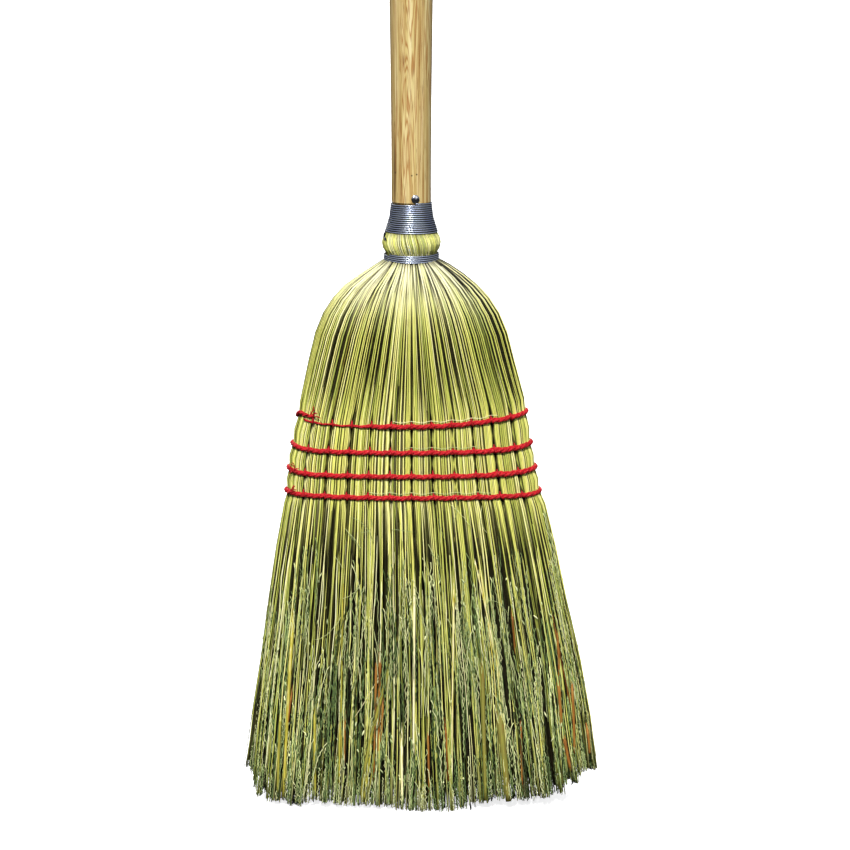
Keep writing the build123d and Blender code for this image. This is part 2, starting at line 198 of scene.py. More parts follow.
def add_piece(name, rings, material, marks=None):
    """A mesh skinned over rings, with its baking cells as UV and its marks as attributes."""
    quads, caps, cells = skin(rings)
    corners = np.concatenate((quads.ravel(), caps.ravel()))
    starts = np.concatenate((np.arange(len(quads)) * 4, quads.size + np.arange(len(caps)) * caps.shape[1]))
    mesh = bpy.data.meshes.new(name)
    mesh.vertices.add(rings.size // 3)
    mesh.vertices.foreach_set("co", rings.astype(np.float32).ravel())
    mesh.loops.add(len(corners))
    mesh.loops.foreach_set("vertex_index", corners.astype(np.int32))
    mesh.polygons.add(len(starts))
    mesh.polygons.foreach_set("loop_start", starts.astype(np.int32))
    mesh.update(calc_edges=True)
    mesh.validate()
    mesh.shade_smooth()
    mesh.uv_layers.new(name="OFBake").uv.foreach_set("vector", cells.astype(np.float32).ravel())
    for mark, values in (marks or {}).items():
        mesh.attributes.new(mark, "FLOAT", "POINT").data.foreach_set("value", values.astype(np.float32))
    mesh.materials.append(material)
    piece = add_object(name, mesh)
    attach(piece, "root")
    return piece


def turned(profile, sides):
    """Surface of revolution about Z: each (height, radius) of the profile becomes a ring."""
    angle = -2 * np.pi * np.arange(sides) / sides
    height, radius = profile[:, 0, None], profile[:, 1, None]
    x, y, z = np.broadcast_arrays(radius * np.cos(angle), radius * np.sin(angle), height)
    return np.stack((x, y, z), axis=-1)[None]


WOOD_TONES = (
    (0.28, shade(158, 120, 62)),
    (0.44, shade(194, 171, 108)),
    (0.6, shade(211, 194, 137)),
    (0.76, shade(227, 215, 172)),
)


def wood_finish():
    """Pale hardwood: tan bands, thin brown growth lines, short dark pores and a few marks.

    Bands and pores are noises drawn out along the stick. A growth line is a narrow level of a
    broad noise, as a yearly ring cut lengthwise. A mark is a spot, drawn out to a streak.
    """
    lacquer = {"Roughness": 0.4, "Coat Weight": 0.2, "Coat Roughness": 0.25}
    material, shader = finish_for("lacquered_wood", lacquer)
    broad = noise(shader, (150.0, 150.0, 2.6), 3.0, 0.6, 0.7)
    fine = noise(shader, (460.0, 460.0, 8.0), 4.0, 0.62)
    pores = noise(shader, (1400.0, 1400.0, 80.0), 2.0, 0.5)
    body = ramp(shader, fine, WOOD_TONES)
    stops = [(0.0, WHITE)]
    for level in GROWTH_LINES:
        stops += [(level - 0.016, WHITE), (level, shade(190, 128, 66)), (level + 0.026, WHITE)]
    body = mix(shader, 0.85, body, ramp(shader, broad, stops + [(1.0, WHITE)]), "MULTIPLY")
    dashes = ramp(shader, pores, ((0.3, shade(150, 100, 56)), (0.4, WHITE)))
    body = mix(shader, 0.6, body, dashes, "MULTIPLY")
    coordinates = add_node(shader, "TexCoord", {}).outputs["Object"]
    for x, z, size, stretch in WOOD_MARKS:
        y = -np.sqrt(WOOD_MARK_R**2 - x**2)
        scale = tuple(0.25 / size / np.array((1.0, 1.0, stretch)))
        centre = tuple(np.array((x, y, z)) * scale)
        scaled = add_node(shader, "VectorMath", {0: coordinates, 1: scale}, operation="MULTIPLY")
        ends = {0: scaled.outputs["Vector"], 1: centre}
        away = add_node(shader, "VectorMath", ends, operation="DISTANCE").outputs["Value"]
        mark = ramp(shader, away, ((0.18, shade(70, 38, 22)), (0.42, WHITE)))
        body = mix(shader, 0.9 if stretch < STREAK_STRETCH else 0.55, body, mark, "MULTIPLY")
    join(shader, "Base Color", body)
    add_bump(shader, fine, 0.15, 0.0004)
    return material


spigot = np.array(((0.333, 0.0045), (0.3355, 0.007), (0.398, SEAT_R), (0.404, SEAT_R)))
edge = np.array(((SEAT_TOP, SEAT_R), (SEAT_TOP, NECK_R), (0.4042, NECK_R), (TAPER_START, NECK_R)))
swell = np.linspace(0.0, 1.0, TAPER_RINGS)[1:]
taper_z = TAPER_START + (TAPER_END - TAPER_START) * swell
taper = np.column_stack((taper_z, NECK_R + (HANDLE_R - NECK_R) * swell**1.6))
end_z = HANDLE_TOP - END_R
straight_z = np.linspace(STRAIGHT_START, end_z - 0.004, STRAIGHT_RINGS)
straight = np.column_stack((straight_z, np.full(STRAIGHT_RINGS, HANDLE_R)))
arc = np.radians(np.linspace(0.0, 90.0, ARC_RINGS))
rounded = np.column_stack((end_z + END_R * np.sin(arc), HANDLE_R - END_R + END_R * np.cos(arc)))
rings = turned(np.concatenate((spigot, edge, taper, straight, rounded)), HANDLE_SIDES)
handle = add_piece("handle_stick", rings, wood_finish())
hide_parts("handle")

# Nail: a round-headed steel nail beside the first turn, driven into the wood to hold the wire's
# end. It is the CAD node itself, with bright worn steel.
NAIL_SHINE = {"Roughness": 0.16, "Metallic": 1.0}
BLOOM = 0.15


def mapped(shader, factor, low, high):
    """A factor from 0 to 1 mapped onto another range."""
    limits = {"Value": factor, "To Min": low, "To Max": high}
    return add_node(shader, "MapRange", limits).outputs["Result"]


def mark_of(shader, name):
    """A mark on the mesh, as a factor for other nodes."""
    return add_node(shader, "Attribute", {}, attribute_name=name).outputs["Fac"]


def steel_finish(name, light, dark, shine, grooved=False):
    """Drawn steel: bright metal with a faint cloudy grey bloom and painted shade in its grooves.

    The groove mark is 0 on the outermost line of the wire and 1 where turns touch, where the painted shade
    is nearly black.
    """
    material, shader = finish_for(name, shine)
    cloud = noise(shader, (90.0, 90.0, 90.0), 2.0, 0.5)
    body = ramp(shader, cloud, ((0.3, dark), (0.68, light)))
    if grooved:
        # painted shade between touching turns of wire
        body = mix(shader, 1.0, body, ramp(shader, mark_of(shader, "groove"), GROOVE_PAINTED_SHADES), "MULTIPLY")
    join(shader, "Base Color", body)
    low, high = shine["Roughness"] * (1 - BLOOM), shine["Roughness"] * (1 + BLOOM)
    join(shader, "Roughness", mapped(shader, cloud, low, high))
    return material


def repaint(name, material):
    """Gives a CAD node that stays in view a better material."""
    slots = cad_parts[name].data.materials
    slots.clear()
    slots.append(material)


repaint("wire_nail", steel_finish("nail_steel", shade(206, 206, 210), shade(160, 160, 166), NAIL_SHINE))

# Binding wire: one length of galvanised steel wire, wound close from the nail down over the cut
# ends of the corn. It then dives under the stalks of the bulge and closes in the lower band.
WIRE_R = 0.00061
WIRE_PITCH = 0.00131
WIRE_SIDES = 16
STEPS_PER_TURN = 44
NAIL_AZIMUTH = 282.0
UPPER_TOP = 0.404
BAND_TOP = 0.37037
LEVEL_TURNS = 7.0
UPPER_TURNS = 14.75
BAND_TURNS = 4.0
CROSSING_TURN = 26.0 / 360.0
FIRST_TURN_R = 0.012825
LEVEL_SWELL = 0.0011
FLARE_SWELL = 0.00309
BAND_R = 0.017515
CROSSING_RINGS = 24
HUMP = 0.0019
DIVE = 0.0036
UNEVEN = 0.00003
WIRE_SHINE = {"Roughness": 0.36, "Metallic": 0.9, "Coat Weight": 0.3, "Coat Roughness": 0.1}
# Painted shade of the grooves: white on the wire's outermost line, nearly black where turns touch.
GROOVE_PAINTED_SHADES = (
    (0.0, WHITE),
    (0.018, (0.95, 0.96, 0.98, 1.0)),
    (0.1, (0.003, 0.003, 0.007, 1.0)),
)


def between(low, high, share):
    """Value a share of the way from one to another."""
    return low + (high - low) * share


def smooth(share):
    """Share eased at both ends: three squares less two cubes."""
    share = np.clip(share, 0.0, 1.0)
    return share * share * (3 - 2 * share)


def hill(value, middle, reach):
    """Bell that is 1 at its middle: e to the power of minus the squared distance in reaches."""
    return np.exp(-(((value - middle) / reach) ** 2))


def tube(path, radii, sides, outward, flatness=1.0):
    """Round tubes along many paths at once, as rings of points.

    A ring lies square to its path: one axis is the path's direction crossed with the outward
    direction, the other completes the square, and the first point of a ring is the outermost.
    Flatness thins the tube along the outward axis.
    """
    along = np.gradient(path, axis=1)
    along /= np.linalg.norm(along, axis=-1, keepdims=True)
    side = np.cross(along, np.broadcast_to(outward, path.shape))
    side /= np.linalg.norm(side, axis=-1, keepdims=True)
    out = np.cross(side, along) * flatness
    angle = 2 * np.pi * (np.arange(sides) / sides + 0.25)
    ring = side[:, :, None] * np.cos(angle)[:, None] + out[:, :, None] * np.sin(angle)[:, None]
    return path[:, :, None] + np.broadcast_to(radii, path.shape[:2])[:, :, None, None] * ring


def winding_path():
    """The wire's middle line: a helix that flares, a crossing that dives, and a level helix.

    The turns sit a little higher or lower in front, as wire pulled tight by hand does.
    """
    turn = np.linspace(0.0, UPPER_TURNS, int(UPPER_TURNS * STEPS_PER_TURN))
    flared = np.clip((turn - LEVEL_TURNS) / (UPPER_TURNS - LEVEL_TURNS), 0.0, 1.0)
    radius = FIRST_TURN_R + LEVEL_SWELL * np.minimum(turn / LEVEL_TURNS, 1.0) + FLARE_SWELL * flared
    height = UPPER_TOP - WIRE_R - WIRE_PITCH * turn
    cross = np.linspace(0.0, 1.0, CROSSING_RINGS + 2)[1:-1]
    cross_turn = UPPER_TURNS + CROSSING_TURN * (1 - (1 - cross) ** 2)
    low_start = BAND_TOP - WIRE_R
    cross_height = between(height[-1], low_start, smooth(cross))
    cross_radius = between(radius[-1], BAND_R, cross)
    cross_radius = cross_radius + HUMP * hill(cross, 0.24, 0.2) - DIVE * hill(cross, 0.68, 0.16)
    low = np.linspace(0.0, BAND_TURNS, int(BAND_TURNS * STEPS_PER_TURN))
    low_turn = UPPER_TURNS + CROSSING_TURN + low
    turn = np.concatenate((turn, cross_turn, low_turn))
    radius = np.concatenate((radius, cross_radius, np.full(len(low), BAND_R)))
    azimuth = np.radians(NAIL_AZIMUTH) + 2 * np.pi * turn
    front = np.maximum(0.0, -np.sin(azimuth)) ** 2
    tip_up = 0.0004 * front[: len(height)] * (1 - np.arange(len(height)) / len(height))
    tip_down = 0.0003 + (0.0006 + 0.0008 * low / BAND_TURNS) * (1 - front[-len(low) :])
    height = np.concatenate((height + tip_up, cross_height, low_start - WIRE_PITCH * low + tip_down))
    radius = radius + UNEVEN * (np.sin(turn * 1.7) + np.sin(turn * 4.3 + 1.0))
    return np.stack((radius * np.cos(azimuth), radius * np.sin(azimuth), height), axis=-1)[None]


path = winding_path()
rings = tube(path, WIRE_R, WIRE_SIDES, path * (1.0, 1.0, 0.0))
galvanised = steel_finish("galvanised_wire", shade(234, 243, 255), shade(208, 220, 252), WIRE_SHINE, True)
groove = (1 - np.sin(2 * np.pi * (np.arange(WIRE_SIDES) / WIRE_SIDES + 0.25))) / 2
marks = {"groove": np.broadcast_to(groove, rings.shape[:3]).ravel()}
wire = add_piece("binding_wire", rings, galvanised, marks)
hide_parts("upper_winding", "wire_crossover", "lower_winding")
repaint("inner_winding", galvanised)

# Neck strands: the ends of the covering stalks, which bulge out between the two windings and lie
# at a slant because the neck was turned while the wire was drawn tight.
chance = np.random.default_rng(20)
NECK_STRANDS = 300
NECK_SIDES = 5
NECK_SLANT = 20.0
STREAK_SWING = 0.34
NECK_LEVELS = np.array((0.3925, 0.3868, 0.3838, 0.381, 0.3775, 0.374, 0.3712, 0.3655))
NECK_RADII = np.array((0.0128, 0.0153, 0.0167, 0.0181, 0.0188, 0.0180, 0.0164, 0.0160))
NECK_TAPER = np.array((0.6, 0.8, 0.86, 0.95, 1.0, 0.95, 0.86, 0.8))
# Painted shade on the neck strands at and under the upper winding and the lower band.
NECK_PAINTED_SHADE = np.array((0.9, 0.9, 0.4, 0.0, 0.0, 0.0, 0.3, 0.9))
# Pale straw, for pale stalks and for the painted highlight on the dome's lit top.
PALE_TONE_AND_HIGHLIGHT = shade(254, 249, 208)
# Painted shade: the near-black a stalk takes where it lies deep, under others or beside them.
STRAW_IN_PAINTED_SHADE = shade(20, 17, 8)
HURL_TONES = (
    (0.0, shade(120, 98, 42)),
    (0.14, shade(150, 146, 62)),
    (0.34, shade(174, 186, 86)),
    (0.54, shade(214, 217, 104)),
    (0.76, shade(244, 239, 128)),
    (1.0, shade(255, 250, 170)),
)


def straw_finish(name, stops, roughness):
    """Dry broom corn: each stalk has a tone of its own, paled or greened along its length.

    Marks on the mesh give the tone, how pale it is and how much painted shade it carries where it
    lies deep or under others; long fine streaks and a few dark specks follow the stalk.
    """
    material, shader = finish_for(name, {"Roughness": roughness, "Specular IOR Level": 0.16})
    streak = noise(shader, (1150.0, 1150.0, 22.0), 3.0, 0.6)
    terms = {0: mark_of(shader, "tone"), 1: mapped(shader, streak, -STREAK_SWING, STREAK_SWING)}
    level = add_node(shader, "Math", terms, operation="ADD")
    body = ramp(shader, level.outputs["Value"], stops)
    # the pale mark mixes in pale straw, partly as painted highlight
    body = mix(shader, mark_of(shader, "pale"), body, PALE_TONE_AND_HIGHLIGHT)
    blotch = noise(shader, (240.0, 240.0, 60.0), 3.0, 0.6)
    specks = ramp(shader, blotch, ((0.3, shade(176, 150, 92)), (0.44, WHITE)))
    body = mix(shader, 0.3, body, specks, "MULTIPLY")
    # the gloom mark mixes in painted shade
    join(shader, "Base Color", mix(shader, mark_of(shader, "gloom"), body, STRAW_IN_PAINTED_SHADE))
    add_bump(shader, streak, 0.25, 0.0005)
    return material


def add_straws(name, rings, material, tone, pale=0.0, gloom=0.0, rim=0.6):
    """A piece made of many stalks, with the marks that their finish reads.

    Each stalk carries painted shade where it touches its neighbours: the rim adds gloom away from
    the outermost line, by the versine of the angle.
    """
    sides = rings.shape[2]
    turn = 2 * np.pi * np.arange(sides) / sides
    # painted shade along the stalk's sides, where it touches its neighbours
    edge = rim * np.clip(1 - np.cos(turn), 0.0, 1.0)
    tone, pale, gloom = (np.broadcast_to(values, rings.shape[:2]) for values in (tone, pale, gloom))
    marks = {"tone": np.repeat(tone, sides), "pale": np.repeat(pale, sides)}
    marks["gloom"] = (1 - (1 - gloom[:, :, None]) * (1 - edge)).ravel()
    piece = add_piece(name, rings, material, marks)
    return piece


def each(low, high, count):
    """A random value between two others for each strand, as a column."""
    return chance.uniform(low, high, (count, 1))


def about(middle, reach, count):
    """A random value round a middle for each strand, as a column: a normal deviate."""
    return chance.normal(middle, reach, (count, 1))


hurl_finish = straw_finish("hurl_straw", HURL_TONES, 0.46)
number = np.arange(NECK_STRANDS)[:, None]
start = 2 * np.pi * (number + each(-0.4, 0.4, NECK_STRANDS)) / NECK_STRANDS
down = (NECK_LEVELS[0] - NECK_LEVELS) / (NECK_LEVELS[0] - NECK_LEVELS[-1])
azimuth = start + about(np.radians(NECK_SLANT), 0.03, NECK_STRANDS) * down
under = number % 2
radius = NECK_RADII + each(-0.0003, 0.0002, NECK_STRANDS) - 0.0007 * under
height = np.broadcast_to(NECK_LEVELS, radius.shape)
path = np.stack((radius * np.cos(azimuth), radius * np.sin(azimuth), height), axis=-1)
thick = each(0.00026, 0.00046, NECK_STRANDS) * NECK_TAPER
rings = tube(path, thick, NECK_SIDES, path * (1.0, 1.0, 0.0))
tone = each(0.12, 0.9, NECK_STRANDS)
pale = 0.8 * each(0.0, 0.9, NECK_STRANDS) ** 1.5
# painted shade on strands that lie under others and under the windings
gloom = np.maximum(0.45 * under, NECK_PAINTED_SHADE)
add_straws("neck_strands", rings, hurl_finish, tone, pale, gloom, rim=0.4)

# Hurl: the long smooth stalks that cover the head. They come out from under the lower band in
# layers, round over the shoulder, are pressed together at every sewn row and hang loose below.
SHOULDER_Z = 0.322
SHOULDER_HALF = 0.0632
SHOULDER_DEPTH = 0.0255
TIP_FLARE = 0.0574
TIP_SPLAY = 0.0115
TIP_LEAN = 0.007
SIDE_BELLY = 0.014
SEWN_PRESS = 0.004
DOME_START = 0.302
DOME_POWER = 3.1
BAND_BOTTOM = 0.3672
HURL_R = 0.01664
TOP_ROW = 0.26
LOW_ROW = 0.212
SEWING_Z = 0.236
ROW_LEVELS = (0.2587, 0.2413, 0.2254, 0.2111)
ROW_RISES = ((0.0042, 5, 0.007, 2), (0.003, 8, 0.0036, 4), (0.0025, 8, 0.003, 4), (0.0015, 4, 0.0012, 6))
ROWS = len(ROW_LEVELS)
EDGE_SHARE = 0.85
FACE_PLACES = 0.76
FACE_DROP = 0.34
FACES = ((1.0, "front"), (-1.0, "back"))
STITCH_STEP = 0.17
FAN_END = 0.262
DOME_LEVELS = np.array((0.3715, 0.3665, 0.362, 0.356, 0.349, 0.341, 0.331, 0.318, 0.301, 0.281))
HANGING_STEPS = np.array((0.16, 0.36, 0.58, 0.8, 1.0))
ROW_REACH = 0.0023
ROW_MARGIN = 0.009
ROW_PUSH = (0.3, 1, 1, 0.15, 1, 1, 0.15, 1, 1, 0.15, 1, 1, 0.3)
PUSHED = np.concatenate((np.zeros(len(DOME_LEVELS)), ROW_PUSH, np.zeros(len(HANGING_STEPS))))
PRESSED = np.where(PUSHED == 1, 1.0, 0.0)
LEFT_TUCKS = ((0.06, 0.36, 0.0065), (0.022, 0.2125, 0.014))
RIGHT_BULGES = ((0.02, 0.272, 0.018), (0.013, 0.088, 0.03))
LEFT_LIFTS = ((0.0135, 0.83, 0.07), (0.003, 0.9, 0.07))
RIGHT_LIFTS = ((0.004, 0.25, 0.2), (0.0075, 0.7, 0.05), (0.0075, 0.76, 0.14))
LAST_PLACE = 1.02
CLUMP_SPLITS = 22
CLUMP_LIFT = 0.0042
CLUMP_ROUND = 0.003
GOLDEN_STEP = 0.618034
HURL_PER_LAYER = 208
HURL_RADII = (0.00028, 0.0006)
HURL_RIM_SHADE = 0.62
STALK_SIDES = 4
LAYER_DEPTH = 0.0019
TIP_SCATTER = 0.035
SEWN_TOP = 0.275
SEWN_END = 0.205
FADING_SHARE = 0.58
FADING_Z = 0.125
GAP_SHADE_SHARE = 0.15
DROP_SHARE = 0.15
PALE_SHARE = 0.1
WILD_SHARE = 0.16
STRAY_DEPTH = 0.0028
STRAY_SIDE = 0.0026
STITCH_PRESS = (0.0006, 0.0009)
STITCH_PUSH = 0.0006
STITCH_REACH = 0.002
SWAY = 0.0009
SWAY_RATE = 48.0
EMERGE_LEVELS = (
    *(0.4, 0.268, 0.33, 0.262, 0.345, 0.272, 0.336, 0.27),
    *(0.352, 0.266, 0.334, 0.276, 0.34, 0.264, 0.328, 0.274),
)
TIP_ZONE = 0.026
DARK = 0.985


def loose(z):
    """0 at the lowest row, 1 at the tips."""
    return np.clip((LOW_ROW - z) / LOW_ROW, 0.0, 1.0)


def dome(z):
    """How far the dome has drawn in: 0 where it starts, 1 under the lower band, by a power."""
    return np.clip((z - DOME_START) / (BAND_BOTTOM - DOME_START), 0.0, 1.0) ** DOME_POWER


def flare(z):
    """Half the width of the straight flare from shoulder to tips, with a slight belly."""
    share = (SHOULDER_Z - z) / SHOULDER_Z
    return SHOULDER_HALF + TIP_FLARE * share + SIDE_BELLY * share * (1 - share)


def half_width(z):
    """The flare, drawn in over the dome to the neck."""
    return flare(z) - (flare(BAND_BOTTOM) - HURL_R) * dome(z)


def half_depth(z):
    """Round at the neck, full at the shoulder, pressed flat by the sewing, splayed at the tips."""
    pressed = SEWN_PRESS * smooth((SHOULDER_Z - z) / (SHOULDER_Z - TOP_ROW))
    return SHOULDER_DEPTH - (SHOULDER_DEPTH - HURL_R) * dome(z) - pressed + TIP_SPLAY * loose(z) ** 0.8


def lean(z):
    """Sideways set of the loose bristles, by the root of their loose share."""
    return TIP_LEAN * np.sqrt(loose(z))


def row_height(row, share):
    """Height of a sewn row; it rises to each side by a power of the share, as sewn by hand."""
    left, left_power, right, right_power = ROW_RISES[row]
    size = np.abs(share)
    return ROW_LEVELS[row] + np.where(share < 0, left * size**left_power, right * size**right_power)


def on_head(place, z, sink, facing):
    """X and Y of a spot on the head, by its place from -1 at the left side to 1 at the right.

    Over the dome the middle stalks fan straight out from the neck and the outer ones follow the
    outline. The face is a shallow arc, drawn round at the neck; the outer places go round a
    circular lobe at each side. The left half is drawn in a little at the neck and at the lowest
    row, the right half let out above the sewing and near the tips. Sink moves the spot inwards;
    facing is 1 in front, -1 behind.
    """
    full, depth = half_width(z), half_depth(z)
    across = np.minimum(np.abs(place) / FACE_PLACES, 1.0) * EDGE_SHARE
    outer = np.clip((np.abs(place) - FACE_PLACES) / (1 - FACE_PLACES), 0.0, 1.0)
    fanned = np.clip((BAND_BOTTOM - z) / (BAND_BOTTOM - FAN_END), 0.0, 1.0)
    straight = between(HURL_R, half_width(FAN_END), fanned)
    follow = 0.05 + 0.94 * across + 0.15 * outer
    width = np.where(z > FAN_END, between(straight, full, follow), full)
    bend = smooth((z - SHOULDER_Z) / 0.03)

    def face_y(share):
        """Depth of the face at a share of the width: flat in the fan, round at the neck."""
        return depth * between(1 - FACE_DROP * (share / EDGE_SHARE) ** 2, np.sqrt(1 - share**2), bend)

    edge_y = face_y(EDGE_SHARE * width / full)
    reach = width * (1 - EDGE_SHARE)
    lobe = (reach**2 + edge_y**2) / (2 * reach)
    turn = np.arccos(np.clip((lobe - reach) / lobe, -1.0, 1.0)) * (1 - outer)
    at_side = np.abs(place) > FACE_PLACES
    x = np.where(at_side, width - lobe + (lobe - sink) * np.cos(turn), across * width)
    y = np.where(at_side, (lobe - sink) * np.sin(turn), face_y(across * width / full) - sink)
    drawn_in = sum(size * hill(z, level, extent) for size, level, extent in LEFT_TUCKS)
    let_out = sum(size * hill(z, level, extent) for size, level, extent in RIGHT_BULGES)
    x = x * (1 + np.where(place < 0, -drawn_in, let_out))
    return np.sign(place) * x + lean(z), -facing * y


splits = np.sort(chance.uniform(-1.0, 1.0, CLUMP_SPLITS))
CLUMP_EDGES = np.concatenate(([-LAST_PLACE], splits, [LAST_PLACE]))
CLUMP_LIFTS = chance.uniform(0.0, CLUMP_LIFT, CLUMP_SPLITS + 1)


def clump_of(place):
    """Number of the clump that a place belongs to, with the middle and half width of that clump."""
    number = np.searchsorted(CLUMP_EDGES, place) - 1
    low, high = CLUMP_EDGES[number], CLUMP_EDGES[number + 1]
    return number, (low + high) / 2, (high - low) / 2


def tip_lift(place):
    """How much higher the tips end away from the middle, most of all at the two corners.

    Each clump ends at its own height, its outer stalks a little higher than its middle ones.
    """
    left = sum(size * smooth((-place - begin) / extent) for size, begin, extent in LEFT_LIFTS)
    right = sum(size * smooth((place - begin) / extent) for size, begin, extent in RIGHT_LIFTS)
    number, middle, half = clump_of(place)
    ragged = CLUMP_LIFTS[number] + CLUMP_ROUND * np.abs((place - middle) / half) ** 3
    centre = smooth((np.abs(place - 0.03) - 0.07) / 0.14)
    return (0.0008 + ragged) * centre + left + right


def share_of(place):
    """Share of the half width at a place in the sewing, below 0 at the left."""
    return on_head(place, np.full_like(place, SEWING_Z), 0.0, 1.0)[0] / half_width(SEWING_Z)


def straw_path(place, facing, z, sink, shift=0.0):
    """Middle lines of stalks that keep their place on the head from ring to ring."""
    x, y = on_head(place, z, sink, facing)
    return np.stack(np.broadcast_arrays(x + shift, y, z), axis=-1)


def hurl_levels(place, tip):
    """Heights of a stalk's rings: over the dome, above and below the rows, and down to its tip."""
    share = share_of(place)
    rows = [row_height(row, share) for row in range(ROWS)]
    sewn = [rows[0] + ROW_MARGIN]
    for row in range(ROWS):
        sewn += [rows[row] + ROW_REACH, rows[row] - ROW_REACH]
        sewn.append((rows[row] + rows[row + 1]) / 2 if row < ROWS - 1 else rows[row] - ROW_MARGIN)
    hanging = between(sewn[-1], tip, HANGING_STEPS)
    over = np.broadcast_to(DOME_LEVELS, (len(place), len(DOME_LEVELS)))
    return np.concatenate((over, *sewn, hanging), axis=1)


def gather(place, z):
    """Sideways pull of a loose stalk towards the middle of its clump, strongest at the very tips."""
    middle = clump_of(place)[1]
    pull = 0.14 * loose(z) + 0.08 * smooth((0.035 - z) / 0.035)
    return pull * np.clip(middle - place, -0.04, 0.04) * half_width(z)


def spread(count, start):
    """Shares from 0 to 1 that never repeat and never crowd: steps of the golden ratio."""
    return ((np.arange(count) * GOLDEN_STEP + start) % 1.0)[:, None]


def keep_in(place, stray):
    """Turns the outermost strays inwards, so that the sides of the head stay clean."""
    inward = -np.sign(place) * np.abs(stray) * between(0.8, 0.2, smooth((np.abs(place) - 0.78) / 0.12))
    return np.where(np.abs(place) > 0.6, inward, stray)


